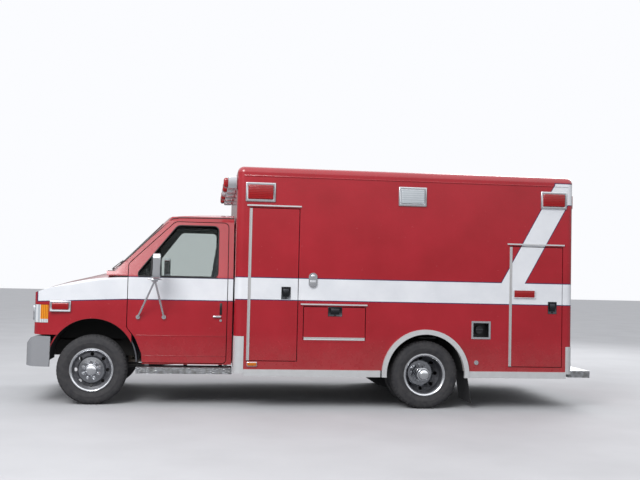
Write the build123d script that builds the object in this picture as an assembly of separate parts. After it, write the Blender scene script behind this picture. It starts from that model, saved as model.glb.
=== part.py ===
from build123d import *
import math
import os

# A full-size ambulance on a van chassis: cab, patient module, frame and running gear.
# Lengths are millimetres. While it is modelled, X is the distance behind the front axle,
# Y the distance from the middle with the driver's side at minus Y, and Z the height above
# the ground. save() moves each piece so that the origin is under the middle of the vehicle.

# Overall sizes
LENGTH = 6070
FRONT_OVERHANG = 688
WHEELBASE = 3505
MIDDLE_X = LENGTH / 2 - FRONT_OVERHANG
FRONT_X = -FRONT_OVERHANG
REAR_X = LENGTH - FRONT_OVERHANG

# Wheels and tyres
TYRE_RADIUS = 362
TYRE_WIDTH = 222
BEAD_RADIUS = 206
RIM_HALF_WIDTH = 86
RIM_LIP_RADIUS = 223
RIM_WALL = 9
FRONT_WHEEL_Y = 881
DUAL_MIDDLE_Y = 945.5
DUAL_SPACING = 264
HAND_HOLES = 8
HAND_HOLE_RADIUS = 19
HAND_HOLE_CIRCLE = 163
WHEEL_NUTS = 8
NUT_RADIUS = 15
NUT_CIRCLE = 84
HUB_RADIUS = 66
SPINDLE_RADIUS = 28
SPIN_CLEARANCE = 0.5
KINGPIN_Y = 760
KINGPIN_RADIUS = 12

# Chassis
RAIL_Y = 430
RAIL_WIDTH = 60
RAIL_BOTTOM = 470
RAIL_TOP = 640
RAIL_WALL = 8
HANGER_Z = 482
RAIL_FRONT = -560
GEARBOX_BOTTOM = 420
SPRING_Y = 520
AXLE_RADIUS = 50

# Cab
CAB_FRONT = 126
CAB_REAR = 1448
CAB_BOTTOM = 430
CAB_FLOOR = 700
CAB_SHELL = 60
CAB_DOOR_THICK = 70
DOOR_SKIN = 14
DOOR_STEP = 12
COWL_Z = 1398
DOOR_GAP = 8
SEAT = 0.3
ARCH_Z = 450
ARCH_RADIUS = 447
LINER_WALL = 14
DOOR_ARC_RADIUS = 510
SCREEN_BASE_X = 125
SCREEN_BASE_Z = 1425
SCREEN_ARC = 4200
SCREEN_RAKE = 44.7
GLASS = 6

# Patient module
REAR_STEP_REACH = 240
MODULE_FRONT = 1462
MODULE_REAR = REAR_X - REAR_STEP_REACH
RAIL_REAR = MODULE_REAR - 72
MODULE_HALF = 1207
SKIRT_Z = 408
EAVES_Z = 2429
ROOF_RISE = 101
ROOF_Z = EAVES_Z + ROOF_RISE
WALL = 50
POST = 80
CORNER_RADIUS = 76
FLOOR_TOP = 790
FLOOR_THICK = 60
LOCKER_DEPTH = 430
LINER = 18
MODULE_DOOR_THICK = 45
WHEEL_CUT_RADIUS = 430
WHEEL_HOUSE_Z = 372
WHEEL_HOUSE_Y = 660
CABINET_REAR = MODULE_REAR - 772

# Doors in the side walls: side, then the outline's low and high X and Z.
# Side -1 is the driver's side.
REAR_LOCKER_X = (MODULE_REAR - 714, MODULE_REAR - 128)
REAR_LOCKER_Z = (464, 1756)
LOCKERS = {
    "left_front_locker": (-1, 1604, 2120, 500, EAVES_Z - 339),
    "left_middle_locker": (-1, 2190, 2843, 728, 1065),
    "left_rear_locker": (-1, *REAR_LOCKER_X, *REAR_LOCKER_Z),
    "right_rear_locker": (1, *REAR_LOCKER_X, *REAR_LOCKER_Z),
}
DROP_DOORS = ("left_middle_locker",)
ENTRY_DOOR = (1, 2130, 2870, 452, EAVES_Z - 149)
HINGE_OUT = 4
HINGE_RADIUS = 4.5
HINGE_WIDE = 24
HINGE_LEAF = 3
REAR_DOOR_HALF = 620
REAR_DOOR_Z = (FLOOR_TOP + 14, EAVES_Z - 99)

NODES = {}


def slab(x, y, z):
    """A box from its low and high X, Y and Z."""
    middle = [(pair[0] + pair[1]) / 2 for pair in (x, y, z)]
    return Pos(*middle) * Box(x[1] - x[0], y[1] - y[0], z[1] - z[0])


def outline(rows):
    """A flat face from rows of (across, up, corner radius)."""
    corners = [(across, up) for across, up, radius in rows]
    radii = [radius for across, up, radius in rows]
    return make_face(FilletPolyline(*corners, radius=radii, close=True))


def side_form(rows, y):
    """A side outline in X and Z, carried across the vehicle."""
    return extrude(Pos(0, y[0], 0) * (Plane.XZ * outline(rows)), y[1] - y[0], dir=(0, 1, 0))


def front_form(rows, x):
    """A front outline in Y and Z, carried along the vehicle."""
    return extrude(Pos(x[0], 0, 0) * (Plane.YZ * outline(rows)), x[1] - x[0], dir=(1, 0, 0))


def top_form(rows, z):
    """A plan outline in X and Y, carried upwards."""
    return extrude(Pos(0, 0, z[0]) * outline(rows), z[1] - z[0], dir=(0, 0, 1))


def two_sided(rows):
    """Rows for the right half of a front outline, from the bottom up, and their mirror image."""
    return rows + [(-across, up, radius) for across, up, radius in reversed(rows)]


def grown(rows, amount):
    """A side outline's face, larger all round by an amount, or smaller where it is negative."""
    face = Plane.XZ * outline(rows)
    return offset(face, amount, kind=Kind.INTERSECTION) if amount else face


def side_cut(rows, amount, y):
    """The outline grown by an amount and carried across from y[0] to y[1]."""
    return extrude(Pos(0, y[0], 0) * grown(rows, amount), y[1] - y[0], dir=(0, 1, 0))


def rod(radius, start, end):
    """A round bar from one point to another."""
    axis = Vector(*end) - Vector(*start)
    return extrude(Plane(origin=start, z_dir=axis) * Circle(radius), axis.length)


def cross_bar(radius, x, z, y):
    """A round bar across the vehicle, from y[0] to y[1]."""
    return rod(radius, (x, y[0], z), (x, y[1], z))


def other_side(shape):
    """The same piece on the other side of the vehicle."""
    return mirror(shape, about=Plane.XZ)


def both(shape):
    """A piece and its mirror image."""
    return [shape, other_side(shape)]


def node(name, *shapes):
    """Keeps the solids of one named piece."""
    solids = []
    for shape in shapes:
        for item in shape if isinstance(shape, (list, tuple)) else [shape]:
            solids += item.solids()
    NODES[name] = solids


# Tyres and wheels. A wheel is turned about its own axle; "out" is the distance outboard
# of the middle of its tyre.
def turned(rows):
    """A solid of revolution about Y from rows of (radius, out, corner radius)."""
    return revolve(outline([(radius, -out, corner) for radius, out, corner in rows]), Axis.Y)


def tyre():
    half = TYRE_WIDTH / 2
    tread = half - 24
    shoulder = TYRE_RADIUS - 46
    side = [
        (BEAD_RADIUS, RIM_HALF_WIDTH - 6, 0),
        (BEAD_RADIUS + 22, RIM_HALF_WIDTH + 8, 10),
        (BEAD_RADIUS + 66, half, 40),
        (shoulder, half, 26),
        (TYRE_RADIUS, tread, 22),
    ]
    return turned(side + [(radius, -out, corner) for radius, out, corner in reversed(side)])


def rim():
    """The barrel that carries the tyre, with a lip at each edge."""
    barrel = BEAD_RADIUS - SEAT
    half = RIM_HALF_WIDTH
    lip = 10
    return turned(
        [
            (barrel - RIM_WALL, -half, 0),
            (RIM_LIP_RADIUS, -half - lip - 6, 3),
            (RIM_LIP_RADIUS, -half - lip, 3),
            (barrel, -half + 4, 0),
            (barrel, half - 4, 0),
            (RIM_LIP_RADIUS, half + lip, 3),
            (RIM_LIP_RADIUS, half + lip + 6, 3),
            (barrel - RIM_WALL, half, 0),
        ]
    )


def disc(rows, thick):
    """A pressed disc from rows of (radius, out) from the rim inwards."""
    back = [(radius, out - thick) for radius, out in reversed(rows)]
    return turned([(radius, out, 0) for radius, out in rows + back])


def around(count, radius, shape):
    """Copies of a shape on a circle about the wheel's axle."""
    step = 360 / count
    return [Rot(0, step * turn, 0) * (Pos(radius, 0, 0) * shape) for turn in range(count)]


def wheel_face(face_out, nut_out):
    """Cutters for the hand holes and the covers of the wheel nuts."""
    hole = Rot(90, 0, 0) * Cylinder(HAND_HOLE_RADIUS, 160)
    holes = around(HAND_HOLES, HAND_HOLE_CIRCLE, Pos(0, -face_out, 0) * hole)
    nut = Rot(90, 0, 0) * Cylinder(NUT_RADIUS, 34)
    nuts = around(WHEEL_NUTS, NUT_CIRCLE, Pos(0, -nut_out, 0) * nut)
    return holes, nuts


def front_wheel():
    """A single wheel whose disc stands outboard, with a domed middle and hub cap."""
    inner = BEAD_RADIUS - RIM_WALL - 1
    face = disc([(inner + 4, 74), (178, 62), (150, 66), (132, 96), (60, 104)], 8)
    holes, nuts = wheel_face(64, 112)
    hub = turned([(0, -60, 0), (HUB_RADIUS, -60, 0), (HUB_RADIUS, 126, 10), (0, 134, 0)])
    bore = turned([(0, -61, 0), (SPINDLE_RADIUS + SPIN_CLEARANCE, -61, 0),
                   (SPINDLE_RADIUS + SPIN_CLEARANCE, 41, 0), (0, 41, 0)])
    whole = rim() + face
    for hole in holes:
        whole = whole - hole
    for nut in nuts:
        whole = whole + nut
    return whole + hub - bore


def rear_wheels():
    """Two wheels back to back on one hub; the outer one is a deep dish."""
    half = DUAL_SPACING / 2
    inner = BEAD_RADIUS - RIM_WALL - 1
    dish = [(inner + 4, -62), (176, -84), (150, -112), (132, 2 - half), (60, 2 - half)]
    outer = rim() + disc([(r, out + 8) for r, out in dish], 8)
    holes, nuts = wheel_face(-100, -108)
    for hole in holes:
        outer = outer - hole
    for nut in nuts:
        outer = outer + nut
    flipped = [(r, -out) for r, out in dish]
    inner_wheel = rim() + disc(flipped, 8)
    hub_in = DUAL_MIDDLE_Y - 700
    hub = turned([(0, -hub_in, 0), (HUB_RADIUS, -hub_in, 0), (HUB_RADIUS, 84, 12), (0, 92, 0)])
    drum = turned([(0, 14 - hub_in, 0), (165, 14 - hub_in, 4), (165, 90 - hub_in, 4), (0, 90 - hub_in, 0)])
    reach = SPINDLE_RADIUS + SPIN_CLEARANCE
    bore = turned([(0, -hub_in - 1, 0), (reach, -hub_in - 1, 0), (reach, 80 - hub_in, 0), (0, 80 - hub_in, 0)])
    pair = Pos(0, -half, 0) * outer + Pos(0, half, 0) * inner_wheel
    return pair + hub + drum - bore


def make_wheels():
    front_place = Pos(0, -FRONT_WHEEL_Y, TYRE_RADIUS)
    rear_place = Pos(WHEELBASE, -DUAL_MIDDLE_Y, TYRE_RADIUS)
    half = DUAL_SPACING / 2
    rubber = tyre()
    pieces = {
        "front_tyre": front_place * rubber,
        "front_wheel": front_place * front_wheel(),
        "rear_tyres": [rear_place * Pos(0, out, 0) * rubber for out in (-half, half)],
        "rear_wheels": rear_place * rear_wheels(),
    }
    for name, shape in pieces.items():
        items = shape if isinstance(shape, list) else [shape]
        node(name + "_left", items)
        node(name + "_right", [other_side(item) for item in items])


# Chassis
def channel(y, x, z):
    """A frame rail of C section, open towards the middle."""
    solid = slab(x, (y - RAIL_WIDTH / 2, y + RAIL_WIDTH / 2), z)
    inner = 1 if y < 0 else -1
    shift = inner * RAIL_WALL
    hollow = slab(
        (x[0] - 1, x[1] + 1),
        (y - RAIL_WIDTH / 2 + shift, y + RAIL_WIDTH / 2 + shift),
        (z[0] + RAIL_WALL, z[1] - RAIL_WALL),
    )
    return solid - hollow


def frame_rails():
    rails = channel(-RAIL_Y, (RAIL_FRONT, RAIL_REAR), (RAIL_BOTTOM, RAIL_TOP))
    rails = rails + other_side(rails)
    reach = RAIL_Y + RAIL_WIDTH / 2 - RAIL_WALL / 2
    for x, width, low, high in (
        (-520, 60, RAIL_BOTTOM, RAIL_TOP - 40),
        (0, 120, 410, RAIL_BOTTOM + RAIL_WALL),
        (2350, 70, RAIL_BOTTOM + 30, RAIL_TOP - 20),
        (WHEELBASE + 555, 70, RAIL_BOTTOM + 30, RAIL_TOP - 20),
        (RAIL_REAR - 35, 60, RAIL_BOTTOM, RAIL_TOP),
    ):
        rails = rails + slab((x - width / 2, x + width / 2), (-reach, reach), (low, high))
    pivot = slab((-85, -55), (250, 330), (290, 412)) + other_side(slab((55, 85), (250, 330), (290, 412)))
    tower = slab((-66, 66), (-622, -RAIL_Y), (RAIL_TOP - 24, RAIL_TOP - 8))
    arm = slab((850, 910), (-RAIL_Y - 20, -RAIL_Y + 20), (392, RAIL_BOTTOM + 4))
    cradle = slab((850, 910), (-RAIL_Y, RAIL_Y), (392, GEARBOX_BOTTOM - SEAT))
    rails = rails + pivot + tower + other_side(tower) + arm + other_side(arm) + cradle
    hanger_out = SPRING_Y + 34
    for x in (WHEELBASE - 590, WHEELBASE + 590):
        hanger = slab((x - 30, x + 30), (-hanger_out, -RAIL_Y), (HANGER_Z, RAIL_BOTTOM + 70))
        rails = rails + hanger + other_side(hanger)
    for x in (300, 1250):
        pad = slab((x - 50, x + 50), (-RAIL_Y - 30, -RAIL_Y + 30), (RAIL_TOP, CAB_FLOOR - 40))
        rails = rails + pad + other_side(pad)
    for x in (MODULE_FRONT + 188, 2700, WHEELBASE + 695, RAIL_REAR - 120):
        pad = slab((x - 60, x + 60), (-RAIL_Y - 30, -RAIL_Y + 30), (RAIL_TOP, FLOOR_TOP - FLOOR_THICK))
        rails = rails + pad + other_side(pad)
    return rails


def front_axle():
    """Two crossing beams with an eye for each kingpin, their trailing arms and coil springs."""
    hub = TYRE_RADIUS
    beam = slab((-52, -12), (60 - KINGPIN_Y, 300), (hub - 62, hub + 16))
    knee = slab((-52, 30), (-736, -690), (hub - 40, hub + 30))
    eye = Pos(0, -KINGPIN_Y, hub) * Cylinder(32, 88)
    bore = Pos(0, -KINGPIN_Y, hub) * Cylinder(KINGPIN_RADIUS + SPIN_CLEARANCE, 100)
    arm = rod(22, (-20, -545, hub - 20), (846, -450, 400))
    spring = Pos(0, -560, 0) * (Cylinder(62, RAIL_TOP - 24 - hub - 16) - Cylinder(48, 400))
    spring = Pos(0, 0, (RAIL_TOP - 24 + hub + 16) / 2) * spring
    plate = slab((-62, 62), (-622, -498), (hub - 6, hub + 16))
    left = beam + knee + eye + plate - bore
    right = Rot(0, 0, 180) * left
    return [left + arm, right + other_side(arm), spring, other_side(spring)]


def knuckle():
    """A forked knuckle round the kingpin, with its spindle and steering arm."""
    hub = TYRE_RADIUS
    out = -KINGPIN_Y
    fork = slab((-34, 34), (out - 54, out + 34), (hub - 76, hub + 76))
    fork = fork - slab((-60, 60), (out - 35, out + 60), (hub - 46, hub + 46))
    pin = Pos(0, out, hub) * Cylinder(KINGPIN_RADIUS, 152)
    spindle = cross_bar(SPINDLE_RADIUS, 0, hub, (-FRONT_WHEEL_Y - 38, out - 50))
    arm = slab((20, 165), (out - 10, out + 22), (hub - 90, hub - 70))
    return fork + pin + spindle + arm


def rear_axle():
    """The live axle: tubes, differential and pinion nose, with its leaf springs."""
    hub = TYRE_RADIUS
    tube = cross_bar(AXLE_RADIUS, WHEELBASE, hub, (-690, 690))
    spindle = cross_bar(SPINDLE_RADIUS, WHEELBASE, hub, (-775, 775))
    ball = Pos(WHEELBASE, 0, hub) * Sphere(165)
    nose = Pos(WHEELBASE - 240, 0, hub + 10) * (Rot(0, -90, 0) * Cone(95, 48, 190))
    return tube + spindle + ball + nose


def leaf_springs():
    """Packs of shorter and shorter leaves over the axle, eyed at each end."""
    eye_z = RAIL_BOTTOM - 20
    low = TYRE_RADIUS + AXLE_RADIUS
    pack = slab((WHEELBASE - 590, WHEELBASE + 590), (-SPRING_Y - 34, -SPRING_Y + 34), (eye_z - 10, eye_z + 10))
    for step, half in enumerate((470, 350, 230)):
        top = eye_z - 10
        pack = pack + slab((WHEELBASE - half, WHEELBASE + half), (-SPRING_Y - 34, -SPRING_Y + 34),
                           (top - 6 * (step + 1), top))
    for x in (WHEELBASE - 590, WHEELBASE + 590):
        pack = pack + cross_bar(22, x, eye_z, (-SPRING_Y - 34, -SPRING_Y + 34))
        pack = pack + slab((x - 8, x + 8), (-SPRING_Y - 34, -SPRING_Y + 34), (eye_z, HANGER_Z - SEAT))
    saddle = slab((WHEELBASE - 60, WHEELBASE + 60), (-SPRING_Y - 44, -SPRING_Y + 44), (low + SEAT, eye_z - 9))
    return both(pack + saddle)


def drive_shaft():
    nose_x = WHEELBASE - 335
    return rod(45, (934, 0, 470), (nose_x - 2.4, 0, TYRE_RADIUS + 12))


def engine():
    """The engine and gearbox as plain blocks."""
    block = slab((-390, 430), (-290, 290), (490, 1010))
    gearbox = slab((430, 930), (-170, 170), (GEARBOX_BOTTOM, 640))
    return block + gearbox


def exhaust():
    y, z = 325, 355
    down = rod(30, (300, y, 600), (300, y, z - 30))
    pipe = rod(32, (290, y, z), (1710, y, z)) + rod(32, (2440, y, z), (2610, y, z))
    muffler = rod(90, (1700, y, z), (2450, y, z))
    hanger = slab((2330, 2370), (y - 20, y + 20), (z + 60, RAIL_BOTTOM + 30 - SEAT))
    tail = rod(32, (2590, y - 10, z), (2760, 1120, 300))
    return down + pipe + muffler + tail + hanger


def fuel_tank():
    half = RAIL_Y - RAIL_WIDTH / 2 - SEAT
    tank = slab((WHEELBASE + 645, RAIL_REAR - 190), (-half, half), (330, RAIL_TOP - 30))
    return fillet(tank.edges().filter_by(Axis.Y), 50)


# Cab
def cab_section(inset, x=(-800, 1600)):
    """The cab's cross-section, wide at the belt and leaning in to the roof, along the vehicle."""
    rows = [
        (978, CAB_BOTTOM - 60, 0),
        (986, 505, 60),
        (1007, 735, 60),
        (1007, 1050, 300),
        (1000, 1345, 200),
        (834, 1952, 24),
        (800, 2006, 40),
        (690, 2034, 120),
    ]
    face = Plane.YZ * outline(two_sided(rows))
    if inset:
        face = offset(face, -inset, kind=Kind.INTERSECTION)
    return extrude(Pos(x[0], 0, 0) * face, x[1] - x[0], dir=(1, 0, 0))


def screen_form(inset):
    """Everything behind the raked windscreen, whose face is an arc in plan."""
    shift = inset / math.sin(math.radians(SCREEN_RAKE))
    reach = 1100
    sagitta = SCREEN_ARC - math.sqrt(SCREEN_ARC**2 - reach**2)
    apex = SCREEN_BASE_X + shift
    arc = ThreePointArc((apex + sagitta, -reach), (apex, 0), (apex + sagitta, reach))
    back = Polyline((apex + sagitta, reach), (3200, reach), (3200, -reach), (apex + sagitta, -reach))
    face = Pos(0, 0, SCREEN_BASE_Z) * make_face(arc + back)
    rake = math.radians(SCREEN_RAKE)
    way = (math.cos(rake), 0, math.sin(rake))
    return extrude(face, 1000, dir=way) + extrude(face, -260, dir=way)


def cab_form(inset, bottom, rear):
    """The cab's outer form, or its inside when inset by the wall."""
    side = [
        (CAB_FRONT + inset, bottom, 0),
        (CAB_FRONT + inset, COWL_Z - inset, 12),
        (CAB_FRONT - 60 + inset, COWL_Z - inset + 6, 0),
        (CAB_FRONT - 60 + inset, 1996 - inset, 0),
        (800, 1998 - inset, 200),
        (1075, 2026 - inset, 300),
        (rear, 2038 - inset, 0),
        (rear, bottom, 0),
    ]
    if inset:
        side = [row for index, row in enumerate(side) if index != 2]
        side[1] = (CAB_FRONT + inset, 1996 - inset, 0)
        side.pop(2)
    lower = slab((-200, 1600), (-1100, 1100), (300, COWL_Z - inset))
    return side_form(side, (-1100, 1100)) & cab_section(inset) & (screen_form(inset) + lower)


CAB_DOOR = [
    (352, 1478, 60),
    (822, 1940, 70),
    (1388, 1940, 50),
    (1388, 445, 40),
    (512, 445, 20),
    (506, 540, 60),
    (438, 706, 80),
    (352, 812, 60),
]
CAB_WINDOW = [
    (452, 1350, 16),
    (452, 1392, 16),
    (846, 1903, 40),
    (1284, 1903, 60),
    (1284, 1350, 60),
]
SCREEN_OPENING = [(862, 1456, 60), (704, 1922, 70)]


def cab_door():
    """A door as thick as the cab's side, with its window cut."""
    skin = (side_cut(CAB_DOOR, 0, (-1100, -700)) & cab_section(0)) - cab_section(DOOR_SKIN)
    core = side_cut(CAB_DOOR, -DOOR_STEP, (-1100, -700)) & cab_section(DOOR_SKIN - 1)
    door = skin + (core - cab_section(CAB_DOOR_THICK))
    return door - side_cut(CAB_WINDOW, 0, (-1100, -600))


def cab_door_glass():
    pane = side_cut(CAB_WINDOW, -SEAT, (-1100, -600))
    return (pane & cab_section(34)) - cab_section(34 + GLASS)


def door_hole():
    return side_cut(CAB_DOOR, DOOR_GAP, (-1100, -700)) - cab_section(CAB_DOOR_THICK + DOOR_GAP)


def cab_inside(clear):
    """The room inside the cab, or a little less: what stands in it is trimmed to it."""
    room = cab_form(CAB_SHELL + clear, CAB_FLOOR + clear, CAB_REAR + 100)
    toe_board = cross_bar(DOOR_ARC_RADIUS + 40 + clear, 0, ARCH_Z, (-1100, 1100))
    cover = slab((0, 560 + clear), (-380 - clear, 380 + clear), (CAB_FLOOR - 10, 1085 + clear))
    kick = slab((0, 396 + clear), (-1100, clear - 756), (300, 1388 + clear))
    return room - toe_board - cover - kick - other_side(kick)


def door_flange():
    """The flange round a door's opening that the closed door's seal meets."""
    lap = side_cut(CAB_DOOR, DOOR_GAP + 18, (-1100, -700)) - side_cut(CAB_DOOR, -2 * DOOR_STEP, (-1100, -700))
    seal = lap & (cab_section(CAB_DOOR_THICK + SEAT) - cab_section(CAB_DOOR_THICK + 10))
    land = side_cut(CAB_DOOR, DOOR_GAP + 18, (-1100, -700)) - side_cut(CAB_DOOR, DOOR_GAP, (-1100, -700))
    frame = seal + (land & (cab_section(CAB_SHELL - 2) - cab_section(CAB_DOOR_THICK + 10)))
    frame = frame - slab((0, 2000), (-1100, -600), (0, CAB_FLOOR - 60))
    frame = frame - slab((0, 345), (-1100, -600), (0, 1500))
    return frame - slab((0, 520), (-1100, -600), (0, 840))


def cab_shell():
    """Floor, bulkhead, pillars and roof, with the doors' and windscreen's openings."""
    shell = cab_form(0, CAB_BOTTOM, CAB_REAR) - cab_inside(0)
    low = (CAB_BOTTOM - 100, ARCH_Z)
    shell = shell - slab((0, CAB_REAR + 1), (-812, 812), (CAB_BOTTOM - 90, CAB_FLOOR - 40))
    for radius, y in ((DOOR_ARC_RADIUS - 36, (-793, 793)), (DOOR_ARC_RADIUS + 4, (792, 1100)),
                      (DOOR_ARC_RADIUS + 4, (-1100, -792))):
        shell = shell - cross_bar(radius, 0, ARCH_Z, y) - slab((0, radius), y, low)
    shell = shell - slab((0, 520), (-340, 340), (CAB_FLOOR - 50, 1045))
    fender_zone = slab((0, 352 + DOOR_GAP), (-1100, -792), (CAB_BOTTOM - 100, 1352))
    hole = door_hole()
    screen = front_form(two_sided(SCREEN_OPENING), (0, 1000))
    for cutter in (fender_zone, hole):
        shell = shell - cutter - other_side(cutter)
    flange = door_flange()
    return shell - screen + flange + other_side(flange)


def windshield():
    pane = Plane.YZ * outline(two_sided(SCREEN_OPENING))
    pane = extrude(offset(pane, -SEAT, kind=Kind.INTERSECTION), 1000, dir=(1, 0, 0))
    return (pane & screen_form(30)) - screen_form(30 + GLASS)


# Nose: fenders, hood, grille, lamps and bumper
FENDER_FRONT = -604
FENDER_TOP = ((-604, 1158), (-240, 1268), (344, 1342))
SHOULDER_RADIUS = 46
FENDER_WALL = 44
FENDER_INNER = 800
NOSE_PLAN = [
    (400, 0, 0),
    (400, 1007, 0),
    (-180, 1007, 900),
    (-560, 972, 120),
    (-606, 905, 60),
    (-640, 600, 200),
]
HOOD_GAP = 8
PANEL_X = -560
HOOD_THICK = 30
HOOD_CROWN = ((-604, 34), (-500, 36), (-326, 38), (-120, 44), (CAB_FRONT - DOOR_GAP, 72))


def nose_plan(z):
    rows = NOSE_PLAN + [(x, -y, r) for x, y, r in reversed(NOSE_PLAN[1:])]
    return top_form(rows, z)


def fender_top_arc():
    """The fender's top line, seen from the side."""
    (x0, z0), (x1, z1), (x2, z2) = FENDER_TOP
    return ThreePointArc((x0, z0), (x1, z1), (x2, z2))


def fender_top_z(x):
    """The height of the top line at a place along it."""
    (x0, z0), (x1, z1), (x2, z2) = FENDER_TOP
    middle = fender_top_arc().arc_center
    radius = fender_top_arc().radius
    return middle.Y + math.sqrt(radius**2 - (x - middle.X) ** 2)


def fender_block(inset, y):
    """The fender's block under its top line, with the shoulder rounded."""
    x0, x2 = FENDER_TOP[0][0] + 0.01, FENDER_TOP[2][0]
    edge = fender_top_arc()
    bottom = Polyline((x2, FENDER_TOP[2][1]), (x2, 300), (FENDER_TOP[0][0], 300), FENDER_TOP[0])
    face = Plane.XZ * make_face(edge + bottom)
    block = extrude(Pos(0, y[0], -inset) * face, y[1] - y[0], dir=(0, 1, 0))
    shoulder = block.faces().sort_by(Axis.Y)[0].edges().sort_by(Axis.Z)[-1]
    return fillet(shoulder, max(SHOULDER_RADIUS - inset, 5))


def fender():
    """A front fender with its shoulder, wheel arch, splash liner and inner apron."""
    x_back = 352 - DOOR_GAP
    side = [
        (FENDER_FRONT, 724, 10),
        (FENDER_FRONT, 1500, 0),
        (x_back, 1500, 0),
        (x_back, 812, 60),
        (430, 700, 80),
        (496, 545, 60),
        (502, 400, 0),
        (0, 400, 0),
        (0, 724, 0),
    ]
    low = slab((-100, 600), (-1010, -FENDER_INNER), (300, 812))
    form = side_form(side, (-1010, -FENDER_INNER)) & nose_plan((300, 1500)) & cab_section(0)
    outer = form & (fender_block(0, (-1007, -FENDER_INNER)) + low)
    cavity = slab((FENDER_FRONT + 60, x_back - 30), (-957, -700), (300, 1500))
    cavity = cavity & fender_block(FENDER_WALL, (FENDER_WALL - 1007, -700))
    cavity = cavity - cross_bar(ARCH_RADIUS + LINER_WALL, 0, ARCH_Z, (-1100, -100))
    body = outer - cavity
    arch = cross_bar(ARCH_RADIUS, 0, ARCH_Z, (-1100, -500))
    below = slab((-ARCH_RADIUS, ARCH_RADIUS), (-1100, -500), (200, ARCH_Z))
    liner = cross_bar(ARCH_RADIUS + LINER_WALL, 0, ARCH_Z, (-960, -534))
    liner = liner & slab((-600, 600), (-1000, -500), (ARCH_Z, 1200))
    apron = slab((PANEL_X + 30 + SEAT, CAB_FRONT - 6), (-548, -534), (RAIL_TOP + 20, 1120))
    body = body + liner + apron
    inner_wall = slab((-600, 600), (-549, -533), (0, 1200))
    low_wall = slab((-600, 600), (-549, -533), (0, RAIL_TOP + 20))
    for cutter in (arch - inner_wall, below, low_wall):
        body = body - cutter
    lamp = slab((-700, -455), (-1100, -640), (846, 1034))
    return body - lamp


def hood():
    """A crowned lid whose sides follow the fenders, its crown growing to the windscreen."""
    half = FENDER_INNER - HOOD_GAP
    sections = []
    for x, crown in HOOD_CROWN:
        edge = fender_top_z(x) - 4
        top = ThreePointArc((-half, edge), (0, edge + crown), (half, edge))
        under = edge - HOOD_THICK
        low = ThreePointArc((half, under), (0, under + crown), (-half, under))
        sides = Line((half, edge), (half, under)) + Line((-half, under), (-half, edge))
        sections.append(Pos(x, 0, 0) * (Plane.YZ * make_face(top + sides + low)))
    return loft(sections, ruled=True) & nose_plan((900, 1500))


def radiator_panel():
    """The panel that carries the radiator, grille and lamps and closes the nose."""
    low = RAIL_TOP + SEAT
    panel = slab((PANEL_X, PANEL_X + 30), (-636, 636), (low, 1124))
    buffer = slab((PANEL_X, PANEL_X + 30), (-600, -560), (1123, 1175)) - Pos(0, 0, -SEAT) * hood()
    wings = slab((PANEL_X + 13, PANEL_X + 30), (-792, 792), (low, 1124))
    opening = slab((PANEL_X - 1, PANEL_X + 31), (-500, 500), (low + 30, 1090))
    core = slab((PANEL_X + 4, PANEL_X + 60), (-510, 510), (low + 20, 1100))
    return panel + wings - opening + core + buffer + other_side(buffer)


def grille():
    """A frame with level bars across the air intake."""
    low, high, half = 806, 1118, 622
    frame = slab((-644, -606), (-half, half), (low, high))
    frame = frame - slab((-700, -560), (22 - half, half - 22), (low + 22, high - 22))
    bars = 7
    pitch = (high - low - 44) / (bars + 1)
    for index in range(bars):
        z = low + 22 + pitch * (index + 1)
        frame = frame + slab((-636, -606), (20 - half, half - 20), (z - 7, z + 7))
    frame = frame + slab((-632, -608), (-12, 12), (low + 10, high - 10))
    stay = slab((-607, PANEL_X - SEAT), (half - 60, half - 20), (low + 60, low + 120))
    return frame + stay + other_side(stay)


def headlamp():
    """A lamp block that wraps round the corner of the nose."""
    block = slab((-700, -457), (-1100, -642), (848, 1032)) & nose_plan((800, 1100))
    return block - slab((PANEL_X + 13 - SEAT, -400), (-960, -600), (800, 1100))


def front_bumper():
    """A bright bumper with a sloping top and wings that wrap back to the wheel."""
    face = [
        (FRONT_X, 400, 14),
        (FRONT_X, 618, 16),
        (FRONT_X + 60, 690, 24),
        (FRONT_X + 150, 712, 10),
        (-424, 706, 0),
        (-430, 392, 0),
    ]
    plan = [(-400, 1003, 0), (-600, 1003, 90), (FRONT_X, 880, 240)]
    plan = plan + [(x, -y, r) for x, y, r in reversed(plan)]
    outer = side_form(face, (-1010, 1010)) & top_form(plan, (300, 800))
    behind = slab((FRONT_X + 60, -300), (-850, 850), (300, 676))
    wings = slab((-590, -300), (-955, 955), (300, 676))
    bumper = outer - behind - wings - slab((-570, -300), (-960, 960), (300, 800))
    horn = slab((-660, RAIL_FRONT), (-RAIL_Y - 30, -RAIL_Y + 30), (RAIL_BOTTOM + 10, RAIL_TOP - 10))
    return bumper + horn + other_side(horn)


# Inside the cab
def cab_interior():
    """Dashboard, steering column and wheel, and the seats' boxes."""
    dash = [
        (CAB_FRONT + 66, 1130, 10),
        (CAB_FRONT + 66, 1372, 10),
        (420, 1330, 60),
        (470, 1240, 60),
        (430, 1120, 40),
    ]
    top = side_form(dash, (-900, 900)) & cab_inside(1)
    column = rod(30, (430, -430, 1180), (575, -430, 1241))
    centre = Pos(580, -430, 1243) * (Rot(0, 67, 0) * (Cylinder(40, 40) + Torus(190, 15)))
    spokes = Pos(580, -430, 1243) * (Rot(0, 67, 0) * (Box(20, 370, 12) + Box(370, 20, 12)))
    boxes = [slab((760, 1160), (-700, -240), (CAB_FLOOR, 940))]
    boxes.append(other_side(boxes[0]))
    return [top + column + centre + spokes, *boxes]


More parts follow.
